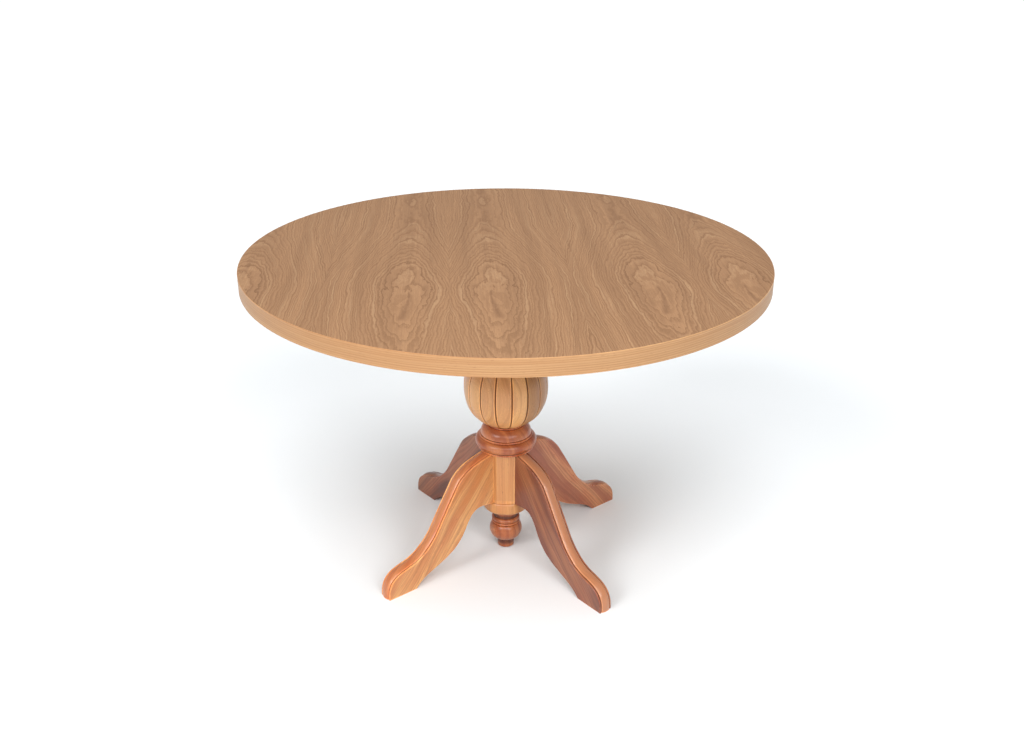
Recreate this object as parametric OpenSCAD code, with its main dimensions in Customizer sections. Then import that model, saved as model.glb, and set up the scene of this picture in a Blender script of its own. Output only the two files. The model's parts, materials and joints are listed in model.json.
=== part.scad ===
// Round dining table on a turned pedestal with four scrolled legs.
// Millimetres, +Z up. The origin is on the floor, under the centre of the top.

/* [Table] */
// Height from the floor to the face of the top
table_h = 780; // [720:5:900]
// Diameter of the top
top_d = 1200; // [900:10:1500]

/* [Top] */
// Thickness of each of the two fibreboard discs
board_t = 18; // [12:1:25]
// Thickness of the face veneer and of the backing veneer
veneer_t = 1; // [0.6:0.1:2]
// Thickness of the edge band
band_t = 1; // [0.6:0.1:3]
// Width of one veneer leaf
leaf_w = 264; // [200:1:320]
// Turn of the grain from the +Y direction
grain_turn = 9; // [-45:1:45]
// Direction of the butt joint in the edge band
band_joint_at = -155; // [-180:1:180]

/* [Bearers] */
// Length of each crossed bearer
bearer_l = 700; // [500:10:850]
// Width of each bearer
bearer_w = 70; // [50:1:90]
// Height of each bearer
bearer_h = 32; // [24:1:45]
// Length of the bevel under each end
bearer_bevel = 60; // [20:1:100]
// Height left at the end of a bevelled bearer
bearer_tip_h = 14; // [8:1:20]

/* [Head plate] */
// Width of the square plate on top of the column
plate_w = 190; // [180:1:240]
// Thickness of the plate
plate_t = 24; // [18:1:30]
// Radius of the plate's corners
plate_corner_r = 25; // [5:1:40]

/* [Neck] */
// Radius of the neck's narrow part
neck_r = 38; // [30:1:50]
// Radius of the cap at the top of the neck
neck_cap_r = 62; // [52:1:66]
// Height of the cap
neck_cap_h = 18; // [12:1:24]
// Radius of the round moulding under the cap and above the bulb
neck_bead_r = 8; // [5:0.5:10]

/* [Bulb] */
// Largest radius of the fluted bulb
bulb_r = 102; // [85:1:115]
// Height of the bulb
bulb_h = 192; // [160:1:215]
// Radius at the two ends of the bulb
bulb_end_r = 37.5; // [36:0.5:46]
// Fullness of the bulb's side: 2 is an ellipse, and more is squarer
bulb_fullness = 2.3; // [2:0.1:3]
// Number of grooves round the bulb
groove_count = 16; // [8:1:24]
// Width of a groove
groove_w = 3; // [2:0.5:5]
// Depth of a groove
groove_d = 2.5; // [1:0.5:4]
// Direction of the first groove
groove_at = -76; // [-90:0.5:90]

/* [Collar] */
// How far the collar's large round stands out past the column's flats
collar_over = 20.5; // [18:0.5:26]
// Radius of the large round's section
round_r = 14; // [12:0.5:18]
// How far the fillet at the collar's foot lies inside the round's edge
foot_fillet_in = 7; // [4:0.5:10]
// Height of the fillet at the collar's foot
foot_fillet_h = 4; // [2:0.5:6]
// Thickness of the thin bead above the round
bead_t = 4.5; // [2:0.5:5]
// Radius at the foot of the cushion above the bead
cushion_r = 63.5; // [60:0.5:68]
// Radius at the top of the cushion
cushion_top_r = 48; // [47:0.5:52]
// Height of the cushion
cushion_h = 25; // [20:0.5:32]
// How far the cushion's side bulges from a straight cone
cushion_bulge = 3.5; // [1:0.5:5]
// Radius of the fillet that the bulb stands on
fillet_r = 46; // [44:0.5:47]
// Height of that fillet
fillet_h = 4; // [2:0.5:8]

/* [Column] */
// Distance across the flats of the octagonal column
column_af = 110; // [104:1:132]
// Thickness of the column's wall
column_wall = 24; // [20:1:28]
// Height of the column
column_h = 138.5; // [130:0.5:180]
// Turn of the column's outer faces from the legs' directions
column_turn = 5.5; // [-6:0.5:6]

/* [Base ring] */
// How far the ring under the column stands out past the column's flats
ring_over = 3; // [1:0.5:8]
// Height of the ring
ring_h = 34; // [26:0.5:40]
// Radius of the ring's two rounded edges
ring_edge_r = 9; // [4:0.5:12]

/* [Finial] */
// Height of the finial
finial_h = 114; // [104:1:130]
// Gap between the finial and the floor
floor_gap = 2; // [2:1:30]
// Largest radius of the finial's bulb
finial_r = 41; // [35:0.5:48]
// Radius of the finial bulb's section
finial_section_r = 28; // [26:0.5:32]
// Height of the bulb's middle above the finial's bottom
finial_bulb_at = 49; // [44:0.5:54]
// Radius of the plug at the bottom
finial_plug_r = 21; // [15:0.5:24]
// Radius of the ring above the bulb
finial_ring_r = 35.5; // [34:0.5:40]
// Height of the ring's lower edge above the bulb's middle
finial_ring_at = 21; // [18:0.5:24]
// Width of the cut between the bulb and that ring
finial_quirk_w = 2; // [1:0.5:3]
// Height of the ring
finial_ring_h = 18; // [14:0.5:24]
// Radius of the neck above that ring
finial_neck_r = 30; // [24:0.5:34]
// Depth of the groove cut round the finial's ring
finial_groove_d = 1.2; // [0.5:0.1:2]
// Width of that groove
finial_groove_w = 2; // [1:0.5:3]
// Height of the groove above the ring's lower edge
finial_groove_at = 4; // [2:0.5:8]

/* [Legs] */
// Distance from the table's axis to the front of a toe
leg_reach = 372; // [320:1:440]
// Thickness of a leg
leg_t = 35; // [28:1:42]
// Width of the ledge on each side of the crown moulding
ledge_w = 6.5; // [2:0.5:9]
// Height of the crown moulding above the ledge
crown_h = 3; // [2:0.5:6]
// Distance from the axis to the back of the flat sole
heel_reach = 291; // [260:1:310]
// Height of a leg's underside above the base ring, at the column
under_rise = 2; // [1:0.5:10]

/* [Hardware] */
// Diameter of the tie rod
rod_d = 12; // [8:1:14]
// Diameter of the leg bolts
bolt_d = 8; // [6:1:10]
// Depth of a leg bolt in its leg
bolt_grip = 45; // [30:1:60]
// Diameter of the leg dowels
dowel_d = 10; // [8:1:12]
// Depth of a dowel in its leg
dowel_in_leg = 30; // [20:1:40]
// Depth of a dowel in the column
dowel_in_column = 15; // [10:1:18]
// Diameter of the wood screws
screw_d = 5; // [4:0.5:6]
// Depth of a screw in the piece that it holds
screw_bite = 15; // [10:0.5:16]
// Radius of the screw circle on the head plate
plate_screw_at = 76; // [74:1:85]

/* [Fits] */
// Gap round spigots, rods and dowels in their holes
fit_gap = 0.2; // [0.05:0.05:0.5]
// Gap between a thread and the part it holds
thread_gap = 0.05; // [0.02:0.01:0.1]
// Gap between a leg's upper end and the collar's round
scribe_gap = 0.5; // [0.3:0.1:1]

/* [Hidden] */
$fn = 64;
eps = 0.01;

// Leg outline, as shares of the reach beyond the column and of the shoulder's height
LEDGE_LINE = [
    [0, 1], [0.16, 0.953], [0.242, 0.913], [0.318, 0.846], [0.385, 0.735], [0.481, 0.562],
    [0.57, 0.408], [0.668, 0.302], [0.755, 0.25], [0.843, 0.223], [0.92, 0.192],
    [0.972, 0.14], [0.996, 0.074], [1, 0]
];
// Underside, as shares of the heel's reach and of the underside's height at the column
UNDER_LINE = [
    [0, 0.98], [0.128, 1.007], [0.208, 0.997], [0.276, 0.928], [0.33, 0.81], [0.398, 0.62],
    [0.49, 0.454], [0.608, 0.336], [0.736, 0.247], [0.863, 0.163], [0.941, 0.089], [1, 0]
];
CURVE_STEPS = 3;
BULB_STEPS = 28;

// Levels, from the floor up
finial_z = floor_gap;
ring_z = finial_z + finial_h;
column_z = ring_z + ring_h;
collar_z = column_z + column_h;
round_z = collar_z + foot_fillet_h;
bead_z = round_z + 2 * round_r;
cushion_z = bead_z + bead_t;
fillet_z = cushion_z + cushion_h;
bulb_z = fillet_z + fillet_h;
neck_z = bulb_z + bulb_h;
top_t = 2 * board_t + 2 * veneer_t;
top_z = table_h - top_t;
bearer_z = top_z - bearer_h;
plate_z = bearer_z - plate_t;
neck_h = plate_z - neck_z;

// Top
top_r = top_d / 2;
disc_r = top_r - band_t;
core_lower_z = top_z + veneer_t;
core_upper_z = core_lower_z + board_t;
face_z = core_upper_z + board_t;
band_joint_gap = 0.3;
band_joint_angle = band_joint_gap / top_r * 180 / PI;

// Column
flat_r = column_af / 2;
collar_r = flat_r + collar_over;
ring_r = flat_r + ring_over;
cavity_r = flat_r - column_wall;
spigot_r = cavity_r - fit_gap;
spigot_l = 12;
peg_r = 22;
peg_l = 10;

// Fasteners
rod_r = rod_d / 2;
nut_af = 1.6 * rod_d;
nut_t = 0.8 * rod_d;
washer_r = rod_d;
washer_t = 2.5;
pocket_r = washer_r + 3;
rod_tail = 6;
insert_r = rod_r + 3;
insert_l = 20;
nut_pocket_l = washer_t + nut_t + 4;
insert_z = ring_z - nut_pocket_l - insert_l;
rod_bottom_z = insert_z - rod_tail;
rod_top_z = bearer_z + washer_t + nut_t + rod_tail;
bolt_r = bolt_d / 2;
bolt_nut_af = 1.6 * bolt_d;
bolt_nut_t = 0.8 * bolt_d;
bolt_washer_r = 1.4 * bolt_d;
bolt_washer_t = 1.6;
bolt_tail = 3;
bolt_start = cavity_r - bolt_washer_t - bolt_nut_t - bolt_tail;
dowel_hole_r = dowel_d / 2 + thread_gap;
bolt_levels = [for (share = [0.28, 0.65]) column_z + share * column_h];
dowel_levels = [for (share = [0.12, 0.81]) column_z + share * column_h];
screw_r = screw_d / 2;
screw_head_r = 2 * screw_r;
screw_sink = 6;
bearer_screws = [0.2 * bearer_l, 0.39 * bearer_l];

// ---- Helpers ----

// A point on the smooth curve from b to c, with a before them and d after them
function between(a, b, c, d, t) =
    0.5 * (2 * b + (c - a) * t + (2 * a - 5 * b + 4 * c - d) * t * t
        + (3 * b - a - 3 * c + d) * t * t * t);

// A smooth curve through every point of a line
function smooth(line) =
    let (last = len(line) - 1)
    [
        for (i = [0:last - 1], step = [0:CURVE_STEPS - 1])
            between(line[max(i - 1, 0)], line[i], line[i + 1], line[min(i + 2, last)],
                step / CURVE_STEPS),
        line[last]
    ];

// The same line moved out to its left by a distance
function moved(line, distance) =
    let (last = len(line) - 1)
    [
        for (i = [0:last])
            let (along = line[min(i + 1, last)] - line[max(i - 1, 0)])
            line[i] + distance * [-along[1], along[0]] / norm(along)
    ];

function reversed(line) = [for (i = [len(line) - 1:-1:0]) line[i]];

// An upright prism with a regular outline, by its distance from axis to flat
module prism(sides, flat, height) {
    rotate(180 / sides)
        cylinder(r = flat / cos(180 / sides), h = height, $fn = sides);
}

// Places its children at the four leg directions, or at one of them
module at_legs() {
    for (turn = [45:90:315])
        rotate(turn) children();
}

// A rod along +X from one distance to another, at a level
module cross_rod(start, end, level, radius) {
    translate([start, 0, level])
        rotate([0, 90, 0])
            cylinder(r = radius, h = end - start);
}

// ---- Top ----

module disc(level, thickness) {
    translate([0, 0, level])
        cylinder(r = disc_r, h = thickness, $fn = 180);
}

module screw_holes() {
    at_top_screws()
        cylinder(r = screw_r + thread_gap, h = screw_bite + eps);
}

module at_top_screws() {
    for (turn = [0:90:270], out = bearer_screws)
        rotate(turn)
            translate([out, 0, top_z])
                children();
}

module core_upper() {
    color([0.55, 0.42, 0.30])
        disc(core_upper_z, board_t);
}

module core_lower() {
    color([0.60, 0.47, 0.34])
        difference() {
            disc(core_lower_z, board_t);
            screw_holes();
        }
}

module backing_veneer() {
    color([0.70, 0.55, 0.38])
        difference() {
            disc(top_z, veneer_t);
            translate([0, 0, -eps])
                screw_holes();
        }
}

// One leaf of the face, counted from -2 to 2 across the grain
module face_leaf(place) {
    start = place == -2 ? -top_r : (place - 0.5) * leaf_w;
    end = place == 2 ? top_r : (place + 0.5) * leaf_w;
    color(place % 2 == 0 ? [0.74, 0.59, 0.44] : [0.70, 0.55, 0.41])
        intersection() {
            disc(face_z, veneer_t);
            rotate(grain_turn)
                translate([start, -top_r, face_z - 1])
                    cube([end - start, top_d, veneer_t + 2]);
        }
}

module edge_band() {
    color([0.86, 0.68, 0.48])
        rotate(band_joint_at + band_joint_angle)
            rotate_extrude(angle = 360 - band_joint_angle, $fn = 180)
                translate([disc_r, top_z])
                    square([band_t, top_t]);
}

// ---- Bearers and head plate ----

// The cone-shaped seat of a screw's head, pointing up
module countersink() {
    cylinder(
        r1 = screw_head_r + thread_gap, r2 = screw_r + thread_gap,
        h = screw_head_r - screw_r
    );
}

// A bearer along X with bevelled ends and its screw holes
module bearer_blank() {
    half = bearer_l / 2;
    difference() {
        translate([0, bearer_w / 2, bearer_z])
            rotate([90, 0, 0])
                linear_extrude(bearer_w)
                    polygon([
                        [-half, bearer_h], [-half, bearer_h - bearer_tip_h],
                        [bearer_bevel - half, 0], [half - bearer_bevel, 0],
                        [half, bearer_h - bearer_tip_h], [half, bearer_h]
                    ]);
        for (side = [-1, 1], out = bearer_screws)
            translate([side * out, 0, bearer_z - eps]) {
                cylinder(r = screw_r + thread_gap, h = bearer_h + 1);
                cylinder(r = screw_head_r + fit_gap, h = screw_sink + eps);
                translate([0, 0, screw_sink + eps])
                    countersink();
            }
        for (side = [-1, 1])
            translate([side * plate_screw_at, 0, bearer_z - eps])
                cylinder(r = screw_r + thread_gap, h = screw_bite + fit_gap);
        translate([0, 0, bearer_z - 1])
            cylinder(r = pocket_r, h = bearer_h + 2);
    }
}

// What each bearer loses at the halving joint
module halving(level) {
    translate([-bearer_w / 2, -bearer_w / 2 - 1, level])
        cube([bearer_w, bearer_w + 2, bearer_h / 2 + eps]);
}

module bearer_long() {
    color([0.72, 0.50, 0.33])
        difference() {
            bearer_blank();
            halving(bearer_z + bearer_h / 2);
        }
}

module bearer_cross() {
    color([0.66, 0.45, 0.30])
        rotate(90)
            difference() {
                bearer_blank();
                halving(bearer_z - eps);
            }
}

// A countersunk wood screw pointing up, by its length
module wood_screw(length) {
    head_h = screw_head_r - screw_r;
    cylinder(r = screw_r, h = length);
    cylinder(r1 = screw_head_r, r2 = screw_r, h = head_h);
}

module top_screws() {
    color([0.80, 0.80, 0.78])
        at_top_screws()
            translate([0, 0, screw_sink - bearer_h])
                wood_screw(bearer_h - screw_sink + screw_bite);
}

module at_plate_screws() {
    for (turn = [0:90:270])
        rotate(turn)
            translate([plate_screw_at, 0, plate_z])
                children();
}

module plate_screws() {
    color([0.80, 0.80, 0.78])
        at_plate_screws()
            wood_screw(plate_t + screw_bite);
}

module head_plate() {
    inner = plate_w / 2 - plate_corner_r;
    color([0.68, 0.47, 0.31])
        difference() {
            translate([0, 0, plate_z])
                union() {
                    translate([-plate_w / 2, -inner, 0])
                        cube([plate_w, 2 * inner, plate_t]);
                    translate([-inner, -plate_w / 2, 0])
                        cube([2 * inner, plate_w, plate_t]);
                    for (x = [-inner, inner], y = [-inner, inner])
                        translate([x, y, 0])
                            cylinder(r = plate_corner_r, h = plate_t);
                }
            translate([0, 0, plate_z - 1])
                cylinder(r = rod_r + fit_gap, h = plate_t + 2);
            translate([0, 0, plate_z - eps])
                cylinder(r = peg_r + fit_gap, h = peg_l + fit_gap);
            at_plate_screws() {
                translate([0, 0, -eps])
                    cylinder(r = screw_r + thread_gap, h = plate_t + 1);
                translate([0, 0, -eps])
                    countersink();
            }
        }
}

// ---- Turned pieces ----

// A turned piece with a hole for the tie rod, a peg on top and a socket below
module turned(bottom, height, peg, socket) {
    difference() {
        union() {
            rotate_extrude()
                children();
            if (peg)
                translate([0, 0, bottom + height - eps])
                    cylinder(r = peg_r, h = peg_l + eps);
        }
        translate([0, 0, bottom - 50])
            cylinder(r = rod_r + fit_gap, h = height + 100);
        if (socket)
            translate([0, 0, bottom - eps])
                cylinder(r = peg_r + fit_gap, h = peg_l + fit_gap);
    }
}

module neck_turning() {
    bead_at = neck_r + neck_bead_r;
    color([0.70, 0.44, 0.28])
        turned(neck_z, neck_h, true, true) {
            translate([0, neck_z])
                square([neck_r, neck_h]);
            translate([bead_at - neck_bead_r / 2, neck_z + neck_bead_r])
                circle(neck_bead_r);
            translate([0, neck_z])
                square([bead_at, 2 * neck_bead_r]);
            translate([bead_at - neck_bead_r / 2, plate_z - neck_cap_h - neck_bead_r])
                circle(neck_bead_r);
            translate([0, plate_z - neck_cap_h - 2 * neck_bead_r])
                square([bead_at, 2 * neck_bead_r]);
            translate([0, plate_z - neck_cap_h])
                square([neck_cap_r, neck_cap_h]);
        }
}

// The bulb's side follows one superellipse, cut off at both ends
bulb_mid_z = bulb_z + bulb_h / 2;
bulb_end_share = pow(bulb_end_r / bulb_r, bulb_fullness);
bulb_half = bulb_h / 2 / pow(1 - bulb_end_share, 1 / bulb_fullness);

// The area inside the bulb's side, moved in by a depth
module bulb_area(depth) {
    power = 2 / bulb_fullness;
    translate([0, bulb_mid_z])
        polygon([
            for (i = [0:BULB_STEPS])
                let (turn = 180 * i / BULB_STEPS - 90)
                [
                    (bulb_r - depth) * pow(cos(turn), power),
                    (bulb_half - depth) * sign(turn) * pow(abs(sin(turn)), power)
                ]
        ]);
}

module fluted_bulb() {
    color([0.80, 0.55, 0.36])
        difference() {
            turned(bulb_z, bulb_h, true, true)
                intersection() {
                    bulb_area(0);
                    translate([0, bulb_z])
                        square([bulb_r + 1, bulb_h]);
                }
            for (i = [0:groove_count - 1])
                rotate([90, 0, groove_at + i * 360 / groove_count])
                    linear_extrude(groove_w, center = true)
                        difference() {
                            translate([peg_r + 2, bulb_z - 1])
                                square([bulb_r, bulb_h + 2]);
                            bulb_area(groove_d);
                        }
        }
}

// The area under an arc that bulges out between two radii, from a level up
module bulged_cone(foot_r, top_r, height, bulge) {
    chord = norm([foot_r - top_r, height]);
    arc_r = (pow(chord / 2, 2) + pow(bulge, 2)) / (2 * bulge);
    outward = [height, foot_r - top_r] / chord;
    middle = [(foot_r + top_r) / 2, height / 2];
    intersection() {
        translate(middle - (arc_r - bulge) * outward)
            circle(arc_r);
        square([foot_r + bulge, height]);
    }
}

module collar() {
    round_at = collar_r - round_r;
    bead_at = cushion_r - bead_t / 2;
    color([0.78, 0.46, 0.30])
        union() {
            turned(collar_z, bulb_z - collar_z, true, false) {
                translate([0, collar_z])
                    square([collar_r - foot_fillet_in, foot_fillet_h + 1]);
                translate([0, round_z])
                    square([round_at, 2 * round_r]);
                translate([round_at, round_z + round_r])
                    circle(round_r);
                translate([0, bead_z - 1])
                    square([bead_at, bead_t + 1]);
                translate([bead_at, bead_z + bead_t / 2])
                    circle(bead_t / 2);
                translate([0, cushion_z])
                    bulged_cone(cushion_r, cushion_top_r, cushion_h, cushion_bulge);
                translate([0, fillet_z])
                    square([fillet_r, fillet_h]);
            }
            spigot(collar_z - spigot_l);
        }
}

// The round tenon that centres a piece in the column's cavity
module spigot(bottom) {
    difference() {
        translate([0, 0, bottom])
            cylinder(r = spigot_r, h = spigot_l);
        translate([0, 0, bottom - 1])
            cylinder(r = rod_r + fit_gap, h = spigot_l + 2);
    }
}

module column_blank() {
    translate([0, 0, column_z])
        rotate(column_turn)
            prism(8, flat_r, column_h);
}

module column() {
    color([0.86, 0.62, 0.40])
        difference() {
            column_blank();
            translate([0, 0, column_z - 1])
                prism(8, cavity_r, column_h + 2);
            at_legs() {
                for (level = bolt_levels)
                    cross_rod(cavity_r - 5, flat_r + 5, level, bolt_r + fit_gap);
                for (level = dowel_levels)
                    cross_rod(flat_r - dowel_in_column - fit_gap, flat_r + 5, level, dowel_hole_r);
            }
        }
}

module base_ring() {
    edge_at = ring_r - ring_edge_r;
    color([0.84, 0.60, 0.36])
        difference() {
            union() {
                rotate_extrude() {
                    translate([0, ring_z])
                        square([edge_at, ring_h]);
                    translate([0, ring_z + ring_edge_r])
                        square([ring_r, ring_h - 2 * ring_edge_r]);
                    for (level = [ring_z + ring_edge_r, column_z - ring_edge_r])
                        translate([edge_at, level])
                            circle(ring_edge_r);
                }
                translate([0, 0, column_z - eps])
                    cylinder(r = spigot_r, h = spigot_l + eps);
            }
            translate([0, 0, ring_z - 1])
                cylinder(r = rod_r + fit_gap, h = ring_h + spigot_l + 2);
        }
}

module finial() {
    mid_z = finial_z + finial_bulb_at;
    band_z = mid_z + finial_ring_at;
    band_top_z = band_z + finial_ring_h;
    groove_z = band_z + finial_groove_at;
    color([0.74, 0.46, 0.30])
        difference() {
            rotate_extrude() {
                translate([0, finial_z])
                    square([finial_plug_r, finial_bulb_at]);
                intersection() {
                    translate([finial_r - finial_section_r, mid_z])
                        circle(finial_section_r);
                    translate([0, finial_z])
                        square([finial_r + 1, band_z - finial_z - finial_quirk_w]);
                }
                translate([0, band_z])
                    square([finial_ring_r - finial_groove_d, finial_ring_h]);
                translate([0, band_z])
                    square([finial_ring_r, finial_groove_at]);
                translate([0, groove_z + finial_groove_w])
                    square([finial_ring_r, band_top_z - groove_z - finial_groove_w]);
                translate([0, mid_z])
                    square([finial_neck_r, ring_z - mid_z]);
            }
            translate([0, 0, ring_z - nut_pocket_l])
                cylinder(r = pocket_r, h = nut_pocket_l + 1);
            translate([0, 0, insert_z])
                cylinder(r = insert_r + thread_gap, h = insert_l + 1);
            translate([0, 0, rod_bottom_z - 4])
                cylinder(r = rod_r + fit_gap, h = ring_z - rod_bottom_z);
        }
}

// ---- Tie rod and its hardware ----

module finial_insert() {
    color([0.80, 0.68, 0.35])
        translate([0, 0, insert_z])
            difference() {
                cylinder(r = insert_r, h = insert_l);
                translate([0, 0, -1])
                    cylinder(r = rod_r + thread_gap, h = insert_l + 2);
            }
}

module tie_rod() {
    color([0.72, 0.72, 0.72])
        translate([0, 0, rod_bottom_z])
            cylinder(r = rod_r, h = rod_top_z - rod_bottom_z);
}

module tie_nuts() {
    color([0.75, 0.75, 0.76])
        for (level = [bearer_z + washer_t, ring_z - washer_t - nut_t])
            translate([0, 0, level])
                difference() {
                    prism(6, nut_af / 2, nut_t);
                    translate([0, 0, -1])
                        cylinder(r = rod_r + thread_gap, h = nut_t + 2);
                }
}

module tie_washers() {
    color([0.78, 0.78, 0.80])
        for (level = [bearer_z, ring_z - washer_t])
            translate([0, 0, level])
                difference() {
                    cylinder(r = washer_r, h = washer_t);
                    translate([0, 0, -1])
                        cylinder(r = rod_r + fit_gap, h = washer_t + 2);
                }
}

// ---- Legs ----

shoulder_h = collar_z;
under_h = column_z + under_rise;
ledge_reach = leg_reach - crown_h - flat_r;

ledge_line = smooth([for (p = LEDGE_LINE) [flat_r + p[0] * ledge_reach, p[1] * shoulder_h]]);
crown_line = [for (p = moved(ledge_line, crown_h)) [max(p[0], flat_r), max(p[1], 0)]];
under_line = smooth([for (p = UNDER_LINE) [flat_r + p[0] * (heel_reach - flat_r), p[1] * under_h]]);

// A slab of the leg's side outline, centred on its thickness
module leg_slab(line, thickness) {
    root_r = flat_r - 4;
    outline = concat(
        [[root_r, line[0][1]]], line, reversed(under_line), [[root_r, under_line[0][1]]]
    );
    rotate([90, 0, 0])
        linear_extrude(thickness, center = true)
            polygon(outline);
}

module leg(turn) {
    difference() {
        rotate(turn)
            difference() {
                union() {
                    leg_slab(ledge_line, leg_t);
                    leg_slab(crown_line, leg_t - 2 * ledge_w);
                }
                for (level = bolt_levels)
                    cross_rod(flat_r - 5, flat_r + bolt_grip + fit_gap, level, bolt_r + thread_gap);
                for (level = dowel_levels)
                    cross_rod(flat_r - 5, flat_r + dowel_in_leg + fit_gap, level, dowel_hole_r);
            }
        column_blank();
        translate([0, 0, collar_z])
            cylinder(r = collar_r + scribe_gap, h = bulb_z - collar_z);
    }
}

module leg_dowels() {
    color([0.88, 0.74, 0.54])
        at_legs()
            for (level = dowel_levels)
                cross_rod(flat_r - dowel_in_column, flat_r + dowel_in_leg, level, dowel_d / 2);
}

module leg_bolts() {
    color([0.75, 0.75, 0.76])
        at_legs()
            for (level = bolt_levels)
                cross_rod(bolt_start, flat_r + bolt_grip, level, bolt_r);
}

// A ring along +X that ends at a distance from the axis
module side_ring(end, thickness, hole) {
    difference() {
        children();
        cross_rod(end - thickness - 1, end + 1, 0, hole);
    }
}

module leg_washers() {
    color([0.78, 0.78, 0.80])
        at_legs()
            for (level = bolt_levels)
                translate([0, 0, level])
                    side_ring(cavity_r, bolt_washer_t, bolt_r + fit_gap)
                        cross_rod(cavity_r - bolt_washer_t, cavity_r, 0, bolt_washer_r);
}

module leg_nuts() {
    end = cavity_r - bolt_washer_t;
    color([0.75, 0.75, 0.76])
        at_legs()
            for (level = bolt_levels)
                translate([0, 0, level])
                    side_ring(end, bolt_nut_t, bolt_r + thread_gap)
                        translate([end - bolt_nut_t, 0, 0])
                            rotate([0, 90, 0])
                                prism(6, bolt_nut_af / 2, bolt_nut_t);
}

module leg_front_left() {
    color([0.82, 0.58, 0.38])
        leg(-135);
}

module leg_front_right() {
    color([0.62, 0.38, 0.26])
        leg(-45);
}

module leg_back_left() {
    color([0.60, 0.36, 0.25])
        leg(135);
}

module leg_back_right() {
    color([0.68, 0.44, 0.30])
        leg(45);
}

core_upper();
core_lower();
face_leaf(-2);  // face_leaf_1
face_leaf(-1);  // face_leaf_2
face_leaf(0);  // face_leaf_3
face_leaf(1);  // face_leaf_4
face_leaf(2);  // face_leaf_5
backing_veneer();
edge_band();
bearer_long();
bearer_cross();
top_screws();
head_plate();
plate_screws();
neck_turning();
fluted_bulb();
collar();
column();
base_ring();
finial();
finial_insert();
tie_rod();
tie_nuts();
tie_washers();
leg_front_left();
leg_front_right();
leg_back_left();
leg_back_right();
leg_dowels();
leg_bolts();
leg_washers();
leg_nuts();
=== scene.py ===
# %% [markdown]
# # A round table on a turned pedestal
# The table has a round top faced with oak veneer, and a pedestal of solid hardwood: a fluted bulb,
# a collar, an eight-sided column, four scrolled legs, a ring and a drop finial.
# The frame holds every piece at its real size and place. This lesson gives the pieces that show
# their eased edges, mouldings and grain, and leaves the sizes as they are.

# %% The frame
import json
import math
import random

import bmesh
import bpy
from mathutils import Matrix, Vector


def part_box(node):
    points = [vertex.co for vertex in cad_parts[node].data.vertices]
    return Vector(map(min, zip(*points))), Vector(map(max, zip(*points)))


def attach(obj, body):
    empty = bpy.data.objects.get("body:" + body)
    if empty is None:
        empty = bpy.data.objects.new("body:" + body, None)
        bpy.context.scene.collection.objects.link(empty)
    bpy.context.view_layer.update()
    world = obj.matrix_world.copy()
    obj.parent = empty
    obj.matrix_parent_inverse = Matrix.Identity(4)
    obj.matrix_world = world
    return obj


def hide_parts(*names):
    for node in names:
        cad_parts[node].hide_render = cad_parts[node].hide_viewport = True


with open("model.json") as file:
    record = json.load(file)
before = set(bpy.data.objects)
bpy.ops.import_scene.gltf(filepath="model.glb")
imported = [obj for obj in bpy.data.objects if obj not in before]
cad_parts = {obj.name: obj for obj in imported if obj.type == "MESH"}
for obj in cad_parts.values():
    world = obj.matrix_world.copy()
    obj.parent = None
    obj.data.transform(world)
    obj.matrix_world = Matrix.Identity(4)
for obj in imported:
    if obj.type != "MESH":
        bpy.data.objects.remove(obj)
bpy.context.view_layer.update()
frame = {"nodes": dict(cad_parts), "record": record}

mm = 0.001
slot_of = {part["node"]: part["material_slot"] for part in frame["record"]["subparts"]}

# %% [markdown]
# ## The levels of the pedestal
# A turner works from a rod marked with the level of each member. The frame gives those marks:
# each piece's box starts or ends where it meets the next one.

# %% Levels
finial_foot_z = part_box("finial")[0].z
ring_foot_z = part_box("base_ring")[0].z
column_foot_z, column_top_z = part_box("column")[0].z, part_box("column")[1].z
bulb_foot_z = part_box("fluted_bulb")[0].z
neck_foot_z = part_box("neck_turning")[0].z
plate_foot_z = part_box("head_plate")[0].z
top_foot_z, top_face_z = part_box("edge_band")[0].z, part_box("edge_band")[1].z
rod_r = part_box("tie_rod")[1].x
loose_fit = 0.2 * mm
bore_r = rod_r + loose_fit
peg_socket_depth = 10.2 * mm
print("column:", round(column_foot_z, 4), "to", round(column_top_z, 4))

# %% [markdown]
# ## The camera
# The camera stands in front of the table, a little to the right of the front, at about head
# height, and looks down at the top. It is placed by its distance from the axis, its height, and
# three small turns, as a photographer would set a tripod head.

# %% Camera
camera_distance = 2.3419
camera_height = 1.5338
stand_right = math.radians(5.7)
look_down = math.radians(23.994)
look_left = math.radians(5.347)
tilt = math.radians(0.23)

camera_data = bpy.data.cameras.new("camera")
camera_data.sensor_width = 36.0
camera_data.lens = 37.58
camera = bpy.data.objects.new("camera", camera_data)
bpy.context.scene.collection.objects.link(camera)
camera.matrix_world = (
    Matrix.Translation((
        camera_distance * math.sin(stand_right),
        -camera_distance * math.cos(stand_right),
        camera_height,
    ))
    @ Matrix.Rotation(look_left, 4, "Z")
    @ Matrix.Rotation(math.pi / 2 - look_down, 4, "X")
    @ Matrix.Rotation(tilt, 4, "Z")
)
bpy.context.scene.camera = camera
bpy.context.scene.view_settings.view_transform = "Standard"
print("camera at", [round(c, 3) for c in camera.location])

# %% [markdown]
# ## A bench for nodes
# A shader is a small network. Laying out nodes one by one makes long code, so a helper class takes
# a number, a colour or a socket for any input and gives back the socket that comes out.

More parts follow.
